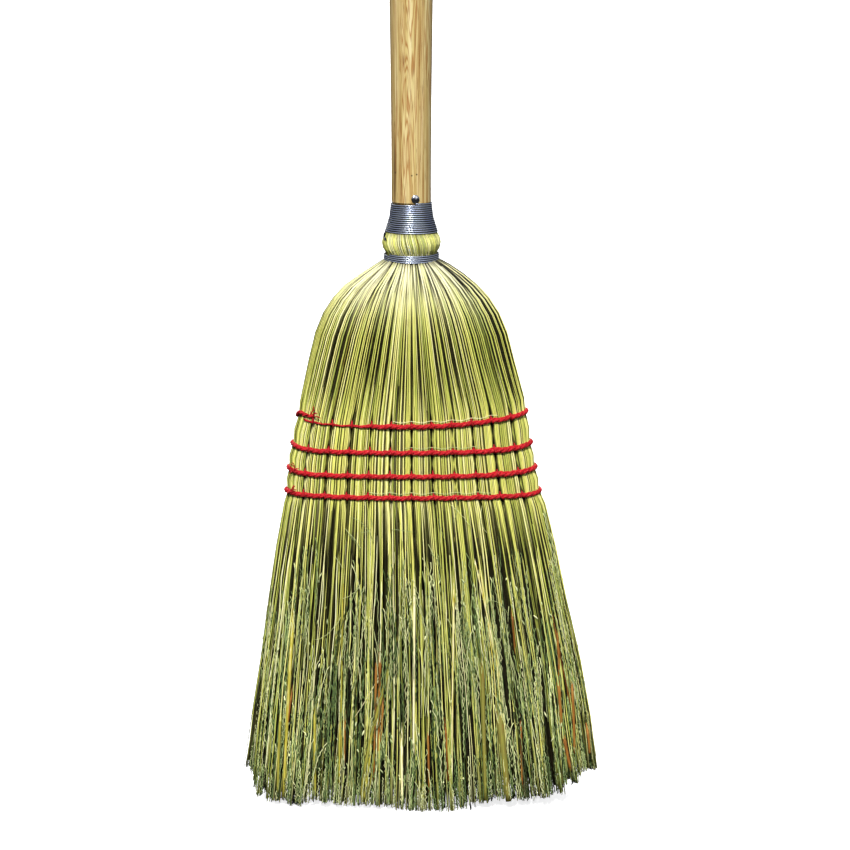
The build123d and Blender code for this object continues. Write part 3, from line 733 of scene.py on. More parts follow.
def hurl_layer(layer, facing):
    """One layer of covering stalks on one face: places, paths, radii and marks.

    Near the neck every sixteenth stalk lies on top and the others come out from under it lower
    down, seven more at the shoulder and the rest above the sewing. At a row each stalk is pressed
    in and pushed away from the nearest stitch. Below, it wanders by a slow sine, and more than
    half of them sink from sight near the tips. About one in seven carries painted shade as a dark
    line between the stalks.
    """
    # Zones along and across the head
    count = HURL_PER_LAYER
    number = np.arange(count)[:, None]
    place = np.linspace(-1.0, 1.0, count)[:, None] + each(-0.5, 0.5, count) * 2 / count
    place = np.clip(place, -0.995, 0.995)
    thick = between(*HURL_RADII, each(0.0, 1.0, count) ** 1.5)
    tip = 0.0004 + TIP_SCATTER * each(0.0, 1.0, count) ** 5 + tip_lift(place)
    z = hurl_levels(place, tip)
    emerge = np.resize(EMERGE_LEVELS, (count, 1)) + each(-0.006, 0.01, count)
    under = smooth((z - emerge) / 0.024)
    settle = smooth((z - SHOULDER_Z) / 0.04)
    sewn = smooth((SEWN_TOP - z) / 0.012) * (1 - smooth((SEWN_END - z) / 0.03))
    hang = loose(z)
    near_tip = smooth(1 - (z - tip) / TIP_ZONE)
    outer = smooth((np.abs(place) - FACE_PLACES) / 0.08)
    rim = smooth((np.abs(place) - 0.8) / 0.1)
    # How deep each stalk lies
    jitter = each(0.0, 0.0008, count)
    fading = (spread(count, 0.55) < FADING_SHARE) * smooth((FADING_Z - z) / 0.04)
    stray_depth = between(-STRAY_DEPTH, STRAY_DEPTH, spread(count, 0.3 * layer))
    stray_depth = stray_depth + about(0.0, 0.0004, count)
    press = between(*STITCH_PRESS, outer) * PRESSED
    sink = thick + layer * LAYER_DEPTH + jitter * (1 - settle) + press
    sink = sink + 0.0016 * under * (1 - 0.6 * rim) + 0.0014 * fading * (1 - rim)
    sink = sink + between(stray_depth, 0.3 * stray_depth - 0.0018, rim) * hang
    # How far it goes sideways, and how thick it is
    stitch = share_of(place) / STITCH_STEP
    off = (stitch - np.round(stitch)) * STITCH_STEP * half_width(SEWING_Z)
    inside = np.abs(place) < FACE_PLACES + 0.02
    push = np.sign(off) * STITCH_PUSH * hill(off, 0.0, STITCH_REACH) * inside
    wave = each(0.0, 2 * np.pi, count)
    wild = 1 + between(2.2, 4.4, stray_depth < -0.0012) * (each(0.0, 1.0, count) < WILD_SHARE)
    stray = keep_in(place, about(0.0, STRAY_SIDE, count) * wild)
    sway = stray * hang + SWAY * np.sin(wave + z * SWAY_RATE) * hang + gather(place, z)
    path = straw_path(place, facing, z, sink, push * PUSHED + sway)
    slim = between(1.18, 2.2, settle) * between(1.0, 0.85, outer) * between(1.0, 1.04, sewn)
    slim = slim * between(1.0, 0.66, smooth(hang * 2)) * between(1.0, 1.25, near_tip)
    # Its tone, and how pale it is: random pale stalks, and paler towards the neck as a painted
    # highlight on the dome's lit top; darker down the lower dome and lighter on the sunlit left side
    sunlit = smooth((-place - 0.62) / 0.12) * smooth((z - FAN_END) / 0.03)
    tone = np.clip(about(0.66, 0.2, count), 0.08, 1.0) + 0.1 * hang + 0.1 * sunlit
    tone = tone - 0.05 * smooth((0.335 - z) / 0.07) * (1 - sewn) + 0.03 * sewn
    tone = tone + chance.uniform(-0.05, 0.05, z.shape)
    # painted highlight: paler towards the neck, on the dome's lit top
    pale = 0.95 * each(0.45, 1.0, count) * smooth((z - 0.316) / 0.044)
    pale = pale + 0.45 * (each(0.0, 1.0, count) < PALE_SHARE) * smooth(hang * 3)
    # Painted shade on it: under other stalks, in the second layer, deep among the loose ones, beside
    # the stitches, in dark lines between stalks, under the band and at the sides
    covered = DARK * under * (1 - 0.22 * sunlit)
    beneath = layer * between(DARK, 0.9, sewn)
    drop = smooth(hang * between(6.0, 30.0, spread(count, 0.47) < DROP_SHARE))
    low_lying = np.maximum(smooth((stray_depth - 0.0003) / 0.0008) * drop, fading)
    low_lying = DARK * low_lying * between(1.0, 0.62, near_tip)
    parted = 0.96 * hill(off, 0.0, 0.0007) * inside * (0.15 + 0.85 * PRESSED) * (PUSHED > 0)
    gap_shade = (spread(count, 0.8) < GAP_SHADE_SHARE) * between(0.98, 0.85, sewn) * (1 - settle)
    gap_shade = gap_shade * smooth((z - 0.08) / 0.06) * (1 - smooth((place - 0.6) / 0.1))
    band_shadow = 0.75 * smooth((z - 0.362) / 0.0045)
    shaded = 0.98 * (number % 6 == 4) * smooth((place - 0.66) / 0.1) * between(1.0, 0.9, sewn)
    flank_shade = 0.97 * (number % 5 == 2) * smooth((np.abs(place) - 0.4) / 0.1)
    flank_shade = flank_shade * smooth((0.21 - z) / 0.012) * between(1.0, 0.55, near_tip)
    left_edge_shade = 0.5 * smooth((-place - 0.95) / 0.03)
    causes = (covered, beneath, low_lying, parted, gap_shade, band_shadow, shaded, flank_shade, left_edge_shade)
    gloom = np.maximum.reduce(np.broadcast_arrays(*causes))
    return place[:, 0], path, thick * slim, tone, pale, gloom


groups = {"front": [], "back": [], "left": [], "right": []}
for facing, face in FACES:
    for layer in (0, 1):
        place, path, radii, *marks = hurl_layer(layer, facing)
        at_side = np.abs(place) > FACE_PLACES
        outward = np.zeros((len(place), 1, 3))
        outward[:, 0, 0] = 0.8 * np.sign(place) * at_side
        outward[:, 0, 1] = -facing
        rings = tube(path, radii, STALK_SIDES, outward)
        lots = {face: ~at_side, "left": at_side & (place < 0), "right": at_side & (place > 0)}
        for name, chosen in lots.items():
            groups[name].append([values[chosen] for values in (rings, *marks)])
for name, parts in groups.items():
    rings, tone, pale, gloom = (np.concatenate(values) for values in zip(*parts))
    if name in ("front", "back"):
        piece = add_straws(f"{name}_hurl", rings, hurl_finish, tone, pale, gloom, HURL_RIM_SHADE)
        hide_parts(*[f"{name}_lock_{number:02d}" for number in range(1, 11)])
    else:
        piece = add_straws(f"{name}_side_hurl", rings, hurl_finish, tone, pale, gloom, HURL_RIM_SHADE)
        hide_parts(f"{name}_shoulder")

# Inside corn: shorter, coarser stalks that fill the head between the covering layers. They are
# tied to the handle's end and carry near-black painted shade, so that only their dim ends and the
# dark between the stalks show.
INSIDE_STALKS = 640
INSIDE_STEPS = np.array((0.0, 0.15, 0.3, 0.45, 0.6, 0.75, 0.88, 0.95, 1.0))
INSIDE_SINK = 0.0046
place = np.tile(np.linspace(-0.99, 0.99, INSIDE_STALKS // 4), 4)[:, None]
place = np.clip(place + each(-0.006, 0.006, INSIDE_STALKS), -0.99, 0.99)
facing = np.where(each(0.0, 1.0, INSIDE_STALKS) < 0.5, 1.0, -1.0)
thick = each(0.0009, 0.0014, INSIDE_STALKS)
top = each(0.338, 0.366, INSIDE_STALKS)
tip = 0.0045 + 0.012 * each(0.0, 1.0, INSIDE_STALKS) ** 2 + tip_lift(place)
z = between(top, tip, INSIDE_STEPS)
inward = each(0.0, 1.0, INSIDE_STALKS) ** 0.8
sink = INSIDE_SINK + inward * (half_depth(z) * between(1.0, 0.6, np.abs(place)) - 0.0052)
path = straw_path(place, facing, z, np.maximum(sink, INSIDE_SINK))
radii = thick * between(1.0, 1.1, loose(z)) * between(0.5, 1.0, smooth(z / 0.03))
rings = tube(path, radii, STALK_SIDES, (0.0, -1.0, 0.0))
tone = each(0.0, 0.5, INSIDE_STALKS)
# near-black painted shade inside the head
piece = add_straws("inside_stalks", rings, hurl_finish, tone, gloom=0.98)
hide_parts("inside_corn")

# Bristles: the thinner branches of the corn that come out from under the lowest row and carry
# the fine fibres. They are greener than the stalks and end in an uneven brush.
BRISTLES = 380
BRISTLE_RINGS = 10
BRISTLE_RADII = (0.00028, 0.00062)
DEEP_SHARE = 0.72
BRISTLE_TONES = (
    (0.0, shade(128, 74, 30)),
    (0.06, shade(96, 80, 36)),
    (0.2, shade(98, 104, 50)),
    (0.42, shade(140, 148, 66)),
    (0.62, shade(192, 197, 96)),
    (0.82, shade(240, 238, 134)),
    (1.0, shade(255, 252, 196)),
)
bristle_finish = straw_finish("bristle_straw", BRISTLE_TONES, 0.5)


def bristles(facing):
    """Thin stalks on one face from under the lowest row to the tips, each at its own depth."""
    place = np.linspace(-0.98, 0.98, BRISTLES)[:, None] + each(-0.004, 0.004, BRISTLES)
    thick = between(*BRISTLE_RADII, each(0.0, 1.0, BRISTLES) ** 1.8)
    tip = 0.0003 + 0.009 * each(0.0, 1.0, BRISTLES) ** 3 + tip_lift(place)
    top = each(0.2, 0.232, BRISTLES)
    z = between(top, tip, np.linspace(0.0, 1.0, BRISTLE_RINGS))
    hang = smooth((top - z) / 0.07)
    deep = (spread(BRISTLES, 0.1) < DEEP_SHARE) * each(0.002, 0.007, BRISTLES)
    sink = between(0.0042, deep + each(-0.0008, 0.0014, BRISTLES), hang)
    wave = each(0.0, 2 * np.pi, BRISTLES)
    sway = keep_in(place, about(0.0, 0.004, BRISTLES)) * loose(z)
    sway = sway + each(0.0002, 0.0011, BRISTLES) * np.sin(wave + z * 70.0) * hang
    path = straw_path(place, facing, z, sink, sway + gather(place, z))
    near_tip = smooth(1 - (z - tip) / TIP_ZONE)
    radii = thick * between(1.0, 0.62, loose(z)) * between(1.0, 1.4, near_tip)
    tone = np.clip(about(0.66, 0.25, BRISTLES), 0.0, 1.0)
    # painted shade on the deep bristles, a little less of it near the tips
    gloom = (deep > 0) * between(DARK, 0.6, near_tip)
    return tube(path, radii, STALK_SIDES, (0.0, -facing, 0.0)), tone, gloom


for facing, face in FACES:
    rings, tone, gloom = bristles(facing)
    add_straws(f"{face}_bristles", rings, bristle_finish, tone, gloom=gloom, rim=0.68)

# Fibres: the fine crinkled twigs of the corn's seed heads, in loose bunches that spread from a
# stalk. They are sage green, thin out towards the sewing and make the soft ragged lower edge.
SPRAYS = 164
FIBRES_PER_SPRAY = 9
FRINGE = 300
FIBRE_RINGS = 17
FIBRE_SIDES = 3
FIBRE_RADII = (0.0003, 0.00046)
DIM_SHARE = 0.56
CURLS = 20
CURL_RINGS = 12
CURL_R = 0.00016
HUSKS = 110
HUSK_RINGS = 5
HUSK_FLATNESS = 0.5
FIBRE_TONES = (
    (0.0, shade(66, 66, 30)),
    (0.22, shade(86, 108, 60)),
    (0.46, shade(124, 150, 90)),
    (0.7, shade(186, 205, 128)),
    (1.0, shade(250, 252, 184)),
)
fibre_finish = straw_finish("fibre_straw", FIBRE_TONES, 0.6)


def fibres(facing):
    """Sprays of thin crinkled strands: each leaves its stalk by a slant, bends back and zigzags.

    More than half of the sprays lie deep, dimmed by painted shade. The last roots are single
    strands of the lower edge.
    """
    roots = SPRAYS + FRINGE
    spray = np.concatenate((np.repeat(np.arange(SPRAYS), FIBRES_PER_SPRAY), np.arange(SPRAYS, roots)))
    count = len(spray)
    size = (count, FIBRE_RINGS)
    single = (np.arange(roots) >= SPRAYS)[:, None]
    place = np.concatenate((np.linspace(-0.93, 0.93, SPRAYS), np.linspace(-0.96, 0.96, FRINGE)))
    place = np.clip(place[:, None] + each(-0.02, 0.02, roots), -0.97, 0.97)
    fringe_start = each(0.012, 0.034, roots)
    start = np.where(single, fringe_start, 0.03 + 0.12 * each(0.0, 1.0, roots) ** 1.3)
    deep = spread(roots, 0.2) < DIM_SHARE
    depth = np.where(deep, each(0.0018, 0.0045, roots), each(-0.0018, 0.0004, roots))
    hue = about(0.54, 0.12, roots)
    by_root = (place, start, deep, depth, hue, single)
    place, start, deep, depth, hue, single = (values[spray] for values in by_root)
    place = np.clip(place + each(-0.05, 0.05, count) * ~single, -0.97, 0.97)
    lift = tip_lift(place)
    end = 0.0004 + 0.003 * each(0.0, 1.0, count) ** 2 + lift
    top = start + lift + each(-0.012, 0.035, count) * ~single
    tip = np.where(single, end, np.maximum(top - each(0.03, 0.07, count), end))
    share = np.linspace(0.0, 1.0, FIBRE_RINGS)
    z = between(top, tip, share)
    slant = about(0.0, 0.0045, count) * np.where(single, 0.4, 1.0)
    fan = keep_in(place, slant * (1 - np.exp(-2.2 * share))) + gather(place, z)
    turns = np.where(np.arange(FIBRE_RINGS) % 2, 1.0, -1.0)
    kink = turns * chance.uniform(0.1, 1.5, size) * each(0.0001, 0.0005, count)
    kink = kink + chance.normal(0.0, 0.0002, size)
    sink = depth + about(0.0, 0.001, count) * share + chance.normal(0.0, 0.0003, size)
    sink = np.maximum(sink, np.where(np.abs(place) > 0.7, -0.0004, -0.003))
    path = straw_path(place, facing, z, sink, fan + kink)
    radii = each(*FIBRE_RADII, count) * between(1.0, 0.8, share)
    radii = radii * between(1.0, 0.78, smooth((z - 0.04) / 0.1))
    tone = np.clip(hue + about(0.0, 0.32, count), 0.0, 1.0) + 0.06
    tone = tone + 0.14 * smooth((z - 0.05) / 0.1) + 0.06 * smooth((0.03 - z) / 0.02)
    # painted shade on the deep sprays, less of it near the tips
    gloom = deep * between(DARK, 0.6, smooth(1 - (z - lift) / 0.024))
    return tube(path, radii, FIBRE_SIDES, (0.0, -facing, 0.0)), tone, gloom


def curls(facing):
    """Single pale hairs that lie across the stalks in a loose bow, each a parabola on the face."""
    spot = each(-0.7, 0.7, CURLS)
    level = each(0.05, 0.205, CURLS)
    share = np.linspace(-1.0, 1.0, CURL_RINGS)
    angle = about(np.pi / 2, 0.7, CURLS)
    half = each(0.005, 0.014, CURLS)
    bow = about(0.0, 0.0025, CURLS) * share**2 + chance.normal(0.0, 0.0002, (CURLS, CURL_RINGS))
    z = level + half * share * np.sin(angle) + bow * np.cos(angle)
    sink = -0.0008 - 0.0016 * (1 - share**2) + 0.004 * share**8
    path = straw_path(spot, facing, z, sink, half * share * np.cos(angle) - bow * np.sin(angle))
    return tube(path, CURL_R, FIBRE_SIDES, (0.0, -facing, 0.0)), each(0.45, 0.95, CURLS)


def husks(facing):
    """Bits of seed husk caught between the fibres: small pointed flakes, wide in the middle."""
    spot = each(-0.8, 0.8, HUSKS)
    share = np.linspace(0.0, 1.0, HUSK_RINGS)
    size = each(0.0016, 0.004, HUSKS)
    z = each(0.012, 0.16, HUSKS) + size * (0.5 - share)
    tilt = about(0.0, 0.3, HUSKS) * size * share
    path = straw_path(spot, facing, z, -0.0008, tilt)
    wide = each(0.0003, 0.00065, HUSKS) * (0.2 + 0.8 * np.sin(np.pi * share))
    rings = tube(path, wide, STALK_SIDES, (0.0, -facing, 0.0), HUSK_FLATNESS)
    return rings, each(0.5, 1.0, HUSKS)


for facing, face in FACES:
    rings, tone, gloom = fibres(facing)
    add_straws(f"{face}_fibres", rings, fibre_finish, tone, gloom=gloom, rim=0.84)
    rings, tone = curls(facing)
    add_straws(f"{face}_curls", rings, fibre_finish, tone, 0.2 * tone, rim=0.2)
    rings, tone = husks(facing)
    add_straws(f"{face}_husks", rings, fibre_finish, tone, 0.4 * tone, rim=0.3)

# Loose stems: the broad, bent or husky stems that lie on top of the front, at a slant over the
# others. Each has three spots across and down the head, its thickness and its tone.
STEM_RINGS = 12
STEM_SIDES = 6
STEM_FLATNESS = 0.6
STEM_TONES = (
    (0.0, shade(80, 46, 20)),
    (0.2, shade(158, 104, 44)),
    (0.4, shade(122, 118, 56)),
    (0.62, shade(156, 150, 60)),
    (0.8, shade(192, 178, 66)),
    (1.0, shade(246, 238, 186)),
)
LOOSE_STEMS = (
    ((0.0023, 0.0016, 0.0013), (0.19, 0.1, 0.034), 0.00105, 1.0),
    ((-0.0065, -0.0065, -0.0062), (0.06, 0.03, 0.0015), 0.0011, 0.96),
    ((-0.0765, -0.0822, -0.0857), (0.16, 0.07, 0.007), 0.0014, 0.78),
    ((-0.0862, -0.0885, -0.0895), (0.08, 0.04, 0.01), 0.0012, 0.6),
    ((-0.064, -0.0645, -0.0642), (0.09, 0.045, 0.009), 0.0011, 0.68),
    ((-0.047, -0.0478, -0.048), (0.075, 0.04, 0.016), 0.0007, 0.78),
    ((-0.0063, -0.028, -0.0327), (0.128, 0.045, 0.006), 0.0014, 0.56),
    ((-0.0255, -0.0285, -0.0325), (0.06, 0.03, 0.006), 0.0008, 0.76),
    ((-0.0235, -0.0262, -0.0305), (0.06, 0.028, 0.005), 0.0007, 0.5),
    ((-0.0205, -0.0212, -0.0222), (0.122, 0.08, 0.03), 0.0013, 0.1),
    ((-0.0232, -0.024, -0.0252), (0.108, 0.07, 0.02), 0.001, 0.2),
    ((-0.019, -0.0285, -0.039), (0.097, 0.079, 0.062), 0.0003, 0.95),
    ((0.0455, 0.0478, 0.0492), (0.14, 0.06, 0.007), 0.0018, 0.42),
    ((0.0565, 0.0608, 0.0645), (0.078, 0.042, 0.006), 0.003, 0.42),
    ((0.089, 0.0995, 0.106), (0.15, 0.1, 0.068), 0.0007, 0.06),
    ((0.0962, 0.0985, 0.0998), (0.095, 0.075, 0.054), 0.0015, 0.22),
    ((0.0995, 0.104, 0.1065), (0.058, 0.036, 0.024), 0.0014, 0.14),
    ((0.1165, 0.1182, 0.1188), (0.056, 0.045, 0.036), 0.0012, 0.2),
    ((0.022, 0.0235, 0.0245), (0.066, 0.042, 0.02), 0.001, 0.12),
    ((-0.0445, -0.0462, -0.0466), (0.18, 0.1, 0.03), 0.0007, 0.66),
    ((0.0285, 0.0272, 0.0268), (0.19, 0.09, 0.012), 0.0008, 0.9),
    ((0.066, 0.0674, 0.0686), (0.136, 0.122, 0.106), 0.0009, 0.12),
    ((0.0105, 0.0112, 0.0118), (0.062, 0.038, 0.012), 0.0009, 0.2),
    ((0.036, 0.0505, 0.0585), (0.192, 0.13, 0.085), 0.0006, 0.9),
    ((0.0405, 0.0515, 0.0565), (0.19, 0.12, 0.07), 0.0005, 0.84),
    ((-0.078, -0.0822, -0.0848), (0.088, 0.06, 0.03), 0.0008, 0.16),
    ((-0.0438, -0.0443, -0.0446), (0.076, 0.055, 0.032), 0.0007, 0.2),
    ((-0.0186, -0.0194, -0.0204), (0.082, 0.064, 0.042), 0.001, 0.2),
    ((0.0722, 0.073, 0.0738), (0.064, 0.04, 0.012), 0.001, 0.14),
    ((0.0962, 0.0975, 0.0984), (0.124, 0.104, 0.082), 0.001, 0.18),
    ((0.1062, 0.1078, 0.1088), (0.09, 0.064, 0.036), 0.0012, 0.2),
)


def place_at(x, z, side_place):
    """Place on the head of a spot at X; past the edge of the face it is the given side place."""
    share = np.clip(x / half_width(z), -0.97, 0.97)
    on_face = share / EDGE_SHARE * FACE_PLACES
    return np.where(np.abs(share) < EDGE_SHARE, on_face, np.sign(share) * side_place)


stem_finish = straw_finish("husky_stem", STEM_TONES, 0.5)
steps = np.linspace(0.0, 1.0, STEM_RINGS)
bend = np.stack((1 - 3 * steps + 2 * steps**2, 4 * steps - 4 * steps**2, 2 * steps**2 - steps))
x_spots, z_spots, widths, tones = (np.array(values) for values in zip(*LOOSE_STEMS))
x, z = x_spots @ bend, z_spots @ bend
face_y = on_head(place_at(x - lean(z), z, 0.8), z, 0.0, 1.0)[1]
lift = between(-0.0045, 0.0009, smooth(steps / 0.3)) - 0.0012 * smooth((steps - 0.7) / 0.3)
taper = (0.3 + 0.7 * smooth(steps / 0.22)) * (1 - 0.3 * steps)
path = np.stack((x, face_y - lift, z), axis=-1)
rings = tube(path, widths[:, None] * taper, STEM_SIDES, (0.0, -1.0, 0.0), STEM_FLATNESS)
add_straws("loose_stems", rings, stem_finish, tones[:, None])

# Sewing: rows of red cotton twine drawn tight round the head. At each stitch the twine comes out of
# the corn above the row, passes over it and goes back in through the head.
PLY_R = 0.00098
PLY_OFFSET = 0.00074
PLY_LAY = 0.0125
TWINE_SIDES = 8
FACE_STEPS = 500
OVERLAP_STEPS = 80
TOP_ROW_RINGS = 660
ROW_RINGS = 640
STITCHES = 11
STITCH_R = 0.00052
STITCH_RINGS = 9
STITCH_SIDES = 6
STITCH_OUT = np.array((0.0012, 0.0018, 0.0002, -0.006))
STITCH_CLIMB = np.array((-0.0012, 0.0009, 0.0024, 0.0026))
STITCH_SLIP = np.array((0.0008, 0.0003, 0.0, 0.0))
KNOT_X = 0.057
TAIL_STRANDS = 6
TAIL_RINGS = 8
TAIL_R = 0.0003
TAILS = {
    0: (-0.0662, 0.2648, 0.0068, 70.0),
    2: (-0.0768, 0.2288, 0.0052, 120.0),
    3: (-0.0792, 0.2142, 0.0048, 100.0),
}
# Reds of the twine; the palest stop is partly painted glint on its loose fibres.
TWINE_REDS = (
    (0.34, shade(136, 0, 10)),
    (0.49, shade(168, 2, 18)),
    (0.6, shade(198, 30, 40)),
    (0.7, shade(232, 124, 124)),
)


def twine_finish():
    """Dyed cotton twine: red, darker and paler in fine flecks, the pale ones partly loose fibre and partly
    painted glint.
    """
    material, shader = finish_for("red_twine", {"Roughness": 0.78, "Specular IOR Level": 0.25})
    fuzz = noise(shader, (1800.0, 1800.0, 1800.0), 4.0, 0.65)
    cloud = noise(shader, (160.0, 160.0, 160.0), 2.0, 0.5)
    wear = ramp(shader, cloud, ((0.35, shade(216, 196, 196)), (0.6, WHITE)))
    join(shader, "Base Color", mix(shader, 0.6, ramp(shader, fuzz, TWINE_REDS), wear, "MULTIPLY"))
    add_bump(shader, fuzz, 0.5, 0.0006)
    return material


def spaced(path, count):
    """The same line with its points spaced evenly along its length, and that length."""
    run = np.concatenate(([0.0], np.cumsum(np.linalg.norm(np.diff(path, axis=0), axis=1))))
    at = np.linspace(0.0, run[-1], count)
    return np.stack([np.interp(at, run, path[:, axis]) for axis in range(3)], axis=-1), run[-1]


def plies(path, length, thin):
    """Three plies wound round a line: each is the line plus a circle that turns once per lay."""
    along = np.gradient(path, axis=0)
    along /= np.linalg.norm(along, axis=1, keepdims=True)
    side = np.cross(along, np.array((0.0, 0.0, 1.0)))
    side /= np.linalg.norm(side, axis=1, keepdims=True)
    up = np.cross(side, along)
    phase = 2 * np.pi * (np.arange(3)[:, None] / 3 + np.linspace(0.0, length, len(path)) / PLY_LAY)
    circle = side * np.cos(phase)[:, :, None] + up * np.sin(phase)[:, :, None]
    lines = path + PLY_OFFSET * thin[:, None] * circle
    return tube(lines, thin * PLY_R, TWINE_SIDES, side)


def row_line(row, start, end, rise, dive):
    """The twine's line round the head: along the front, round the right, back and round again.

    It starts and ends on the front at the left, where its end rises above its start or dives
    under it. Round the sides it sinks into the corn.
    """
    steps = (FACE_STEPS, FACE_STEPS, OVERLAP_STEPS)
    corners = ((start, 1.0), (1.0, -1.0), (-1.0, end))
    place = np.concatenate([np.linspace(*ends, count) for ends, count in zip(corners, steps)])
    facing = np.repeat((1.0, -1.0, 1.0), steps)
    share = share_of(place)
    dip = np.cos(2 * np.pi * share / STITCH_STEP)
    z = row_height(row, share) + 0.0003 * dip * (np.abs(place) < FACE_PLACES)
    overlap = smooth(np.linspace(0.0, 1.0, OVERLAP_STEPS) * 2.5)
    last = np.concatenate((np.zeros(2 * FACE_STEPS), overlap))
    side = smooth((np.abs(place) - FACE_PLACES) / 0.1)
    x, y = on_head(place, z, between(0.0003, 0.001, side) + dive * last, facing)
    return np.stack((x, y, z + rise * last), axis=-1)


def stitch_loops(row):
    """The short loops that hold a row on both faces: out over the twine, up, and into the corn.

    Each loop is four spots beside its stitch, joined by a cubic through them.
    """
    count = 2 * STITCHES
    place = np.tile(np.linspace(-FACE_PLACES, FACE_PLACES, STITCHES), 2)[:, None]
    facing = np.repeat((1.0, -1.0), STITCHES)[:, None]
    out = STITCH_OUT + chance.uniform(-0.0003, 0.0003, (count, 4))
    climb = STITCH_CLIMB + chance.uniform(-0.0004, 0.0004, (count, 4))
    slip = STITCH_SLIP * each(0.4, 1.6, count)
    z = row_height(row, share_of(place)) + climb
    x, y = on_head(place, z, -out, facing)
    knots = np.stack((x + slip, y, z), axis=-1)
    t = np.linspace(0.0, 1.0, STITCH_RINGS)[:, None] * 3
    others = np.array([[k for k in range(4) if k != n] for n in range(4)])
    spans = np.arange(4)[:, None] - others
    weights = np.prod(t[:, :, None] - others, axis=2) / np.prod(spans, axis=1)
    path = np.einsum("tn,cnk->ctk", weights, knots)
    return tube(path, STITCH_R, STITCH_SIDES, (1.0, 0.0, 0.0))


def frayed_tail(x, z, height, heading):
    """The loose end of a row's twine, frayed into strands that curl over: each is a parabola."""
    share = np.linspace(0.0, 1.0, TAIL_RINGS)
    angle = np.radians(heading + each(-75.0, 75.0, TAIL_STRANDS))
    reach = height * each(0.4, 1.0, TAIL_STRANDS) * share
    side = np.where(np.arange(TAIL_STRANDS) % 2, 1.0, -1.0)[:, None]
    curl = each(0.25, 0.6, TAIL_STRANDS) * side * height * share**2
    path_x = x + reach * np.cos(angle) - curl * np.sin(angle)
    path_z = z + reach * np.sin(angle) + curl * np.cos(angle)
    path_y = on_head(place_at(path_x, path_z, 0.82), path_z, -0.0006 - 0.0016 * share, 1.0)[1]
    path = np.stack((path_x, path_y, path_z), axis=-1)
    return tube(path, TAIL_R, STALK_SIDES, (0.0, -1.0, 0.0))


red_twine = twine_finish()
for row in range(ROWS):
    if row == 0:
        line, length = spaced(row_line(row, -0.85, -0.75, rise=0.0036, dive=0.0), TOP_ROW_RINGS)
        run = np.linspace(0.0, length, len(line))
        thin = between(0.42, 1.0, smooth((run - 0.03) / 0.026))
        thin = thin * between(1.0, 0.6, smooth((run - length + 0.02) / 0.02))
    else:
        line, length = spaced(row_line(row, -0.995, -0.9, rise=0.0, dive=0.005), ROW_RINGS)
        knot = 0.24 * hill(line[:, 0], KNOT_X, 0.007) + 0.08 * smooth((line[:, 0] - KNOT_X) / 0.01)
        thin = 1 + knot * (line[:, 1] < 0) * (row < 3)
    layers = [plies(line, length, thin), stitch_loops(row)]
    if row in TAILS:
        layers.append(frayed_tail(*TAILS[row]))
    for rings, ending, stands_for in zip(layers, ("", "_stitches", "_tail"), ("band", "stitches", "")):
        piece = add_piece(f"sewing_row_{row + 1}{ending}", rings, red_twine)
        if stands_for:
            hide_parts(f"row_{row + 1}_{stands_for}")

# Pale hairs above the rows: single fine pale strands lying along the upper edge of a row on the
# front, a little lower between the stitches than at them. They stand for the pale crease of the
# stalks bent over the twine, partly as a painted highlight.
HAIR_SPANS = ((0, -0.14, 0.66, 0.9), (1, -0.05, 0.5, 0.6), (3, -0.3, 0.55, 0.68))
HAIR_RINGS = 90
HAIR_GAP = 0.0032
HAIR_SAG = 0.0005
HAIR_R = 0.00017
for row, first, last, tone in HAIR_SPANS:
    place = np.linspace(first, last, HAIR_RINGS)
    share = share_of(place)
    z = row_height(row, share) + HAIR_GAP + HAIR_SAG * np.cos(2 * np.pi * share / STITCH_STEP)
    path = straw_path(place, 1.0, z, -0.0001)[None]
    rings = tube(path, HAIR_R, STALK_SIDES, (0.0, -1.0, 0.0))
    # pale strands as a painted highlight along the crease above the row
    add_straws(f"row_{row + 1}_hair", rings, fibre_finish, tone, 0.6 * tone**3, rim=0.2)

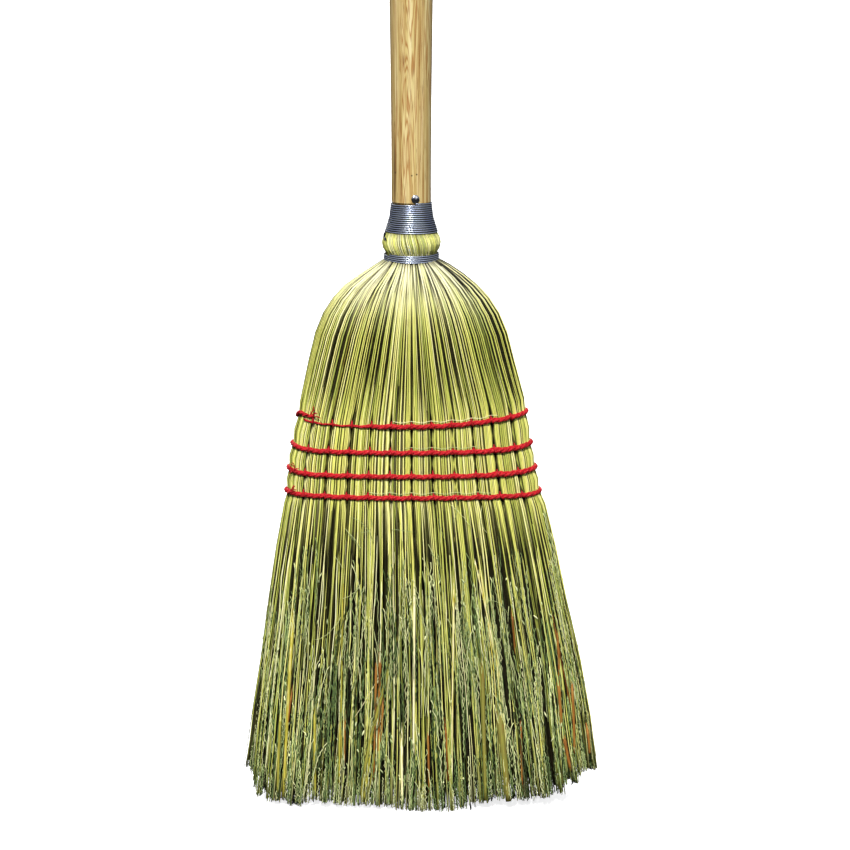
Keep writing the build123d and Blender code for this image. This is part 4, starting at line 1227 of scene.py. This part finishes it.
# Studio: a plain white floor that curves up into a wall all round, soft light from above the
# camera and from behind, and a pale surround that is dim below.
FLOOR_R = 16.0
WALL_R = 24.0
WALL_TOP = 30.0
FLOOR_SIDES = 96
FLOOR_CENTRE_R = 0.01
FLOOR_PAINT = {
    "Roughness": 0.9,
    "Base Color": (0.6, 0.6, 0.6, 1.0),
    "Specular IOR Level": 0.0,
    "Emission Color": WHITE,
    "Emission Strength": 0.78,
}
SKY_SHADES = (
    (0.0, shade(80, 82, 84)),
    (0.46, shade(60, 64, 70)),
    (0.6, shade(170, 176, 186)),
    (1.0, shade(250, 252, 255)),
)
SKY_STRENGTH = 0.7
arc = np.radians(np.linspace(0.0, 90.0, ARC_RINGS))
cove_r = WALL_R - FLOOR_R
cove = np.column_stack((cove_r * (1 - np.cos(arc)), FLOOR_R + cove_r * np.sin(arc)))
profile = np.concatenate((((WALL_TOP, WALL_R),), cove[::-1], ((0.0, FLOOR_CENTRE_R),)))
rings = turned(profile, FLOOR_SIDES)
quads, caps = skin(rings)[:2]
floor_mesh = bpy.data.meshes.new("studio_floor")
floor_mesh.from_pydata(rings.reshape(-1, 3).tolist(), [], quads.tolist() + [caps[1].tolist()])
floor_mesh.shade_smooth()
floor_mesh.materials.append(finish_for("studio_white", FLOOR_PAINT)[0])
floor = add_object("studio_floor", floor_mesh)
floor.visible_diffuse = False
floor.visible_glossy = False
floor.visible_shadow = False


def add_sun(name, strength, width, pitch, turn):
    """A soft distant light: pitch tips it down from overhead, turn swings it round the broom."""
    sun = bpy.data.lights.new(name, "SUN")
    sun.energy = strength
    sun.angle = np.radians(width)
    add_object(name, sun).rotation_euler = (np.radians(pitch), 0.0, np.radians(turn))


add_sun("key_light", 5.2, 4.0, 44.0, -8.0)
add_sun("fill_light", 0.45, 40.0, 62.0, 40.0)
add_sun("back_light", 2.4, 20.0, -56.0, 16.0)
world = bpy.data.worlds.new("surround")
bpy.context.scene.world = world
world.use_nodes = True
sky = world.node_tree.nodes["Background"]
heading = add_node(sky, "TexCoord", {}).outputs["Generated"]
height = add_node(sky, "SeparateXYZ", {"Vector": heading}).outputs["Z"]
rise = add_node(sky, "MapRange", {"Value": height, "From Min": -1.0, "From Max": 1.0}).outputs["Result"]
join(sky, "Color", ramp(sky, rise, SKY_SHADES))
sky.inputs["Strength"].default_value = SKY_STRENGTH
bpy.context.scene.view_settings.view_transform = "Standard"
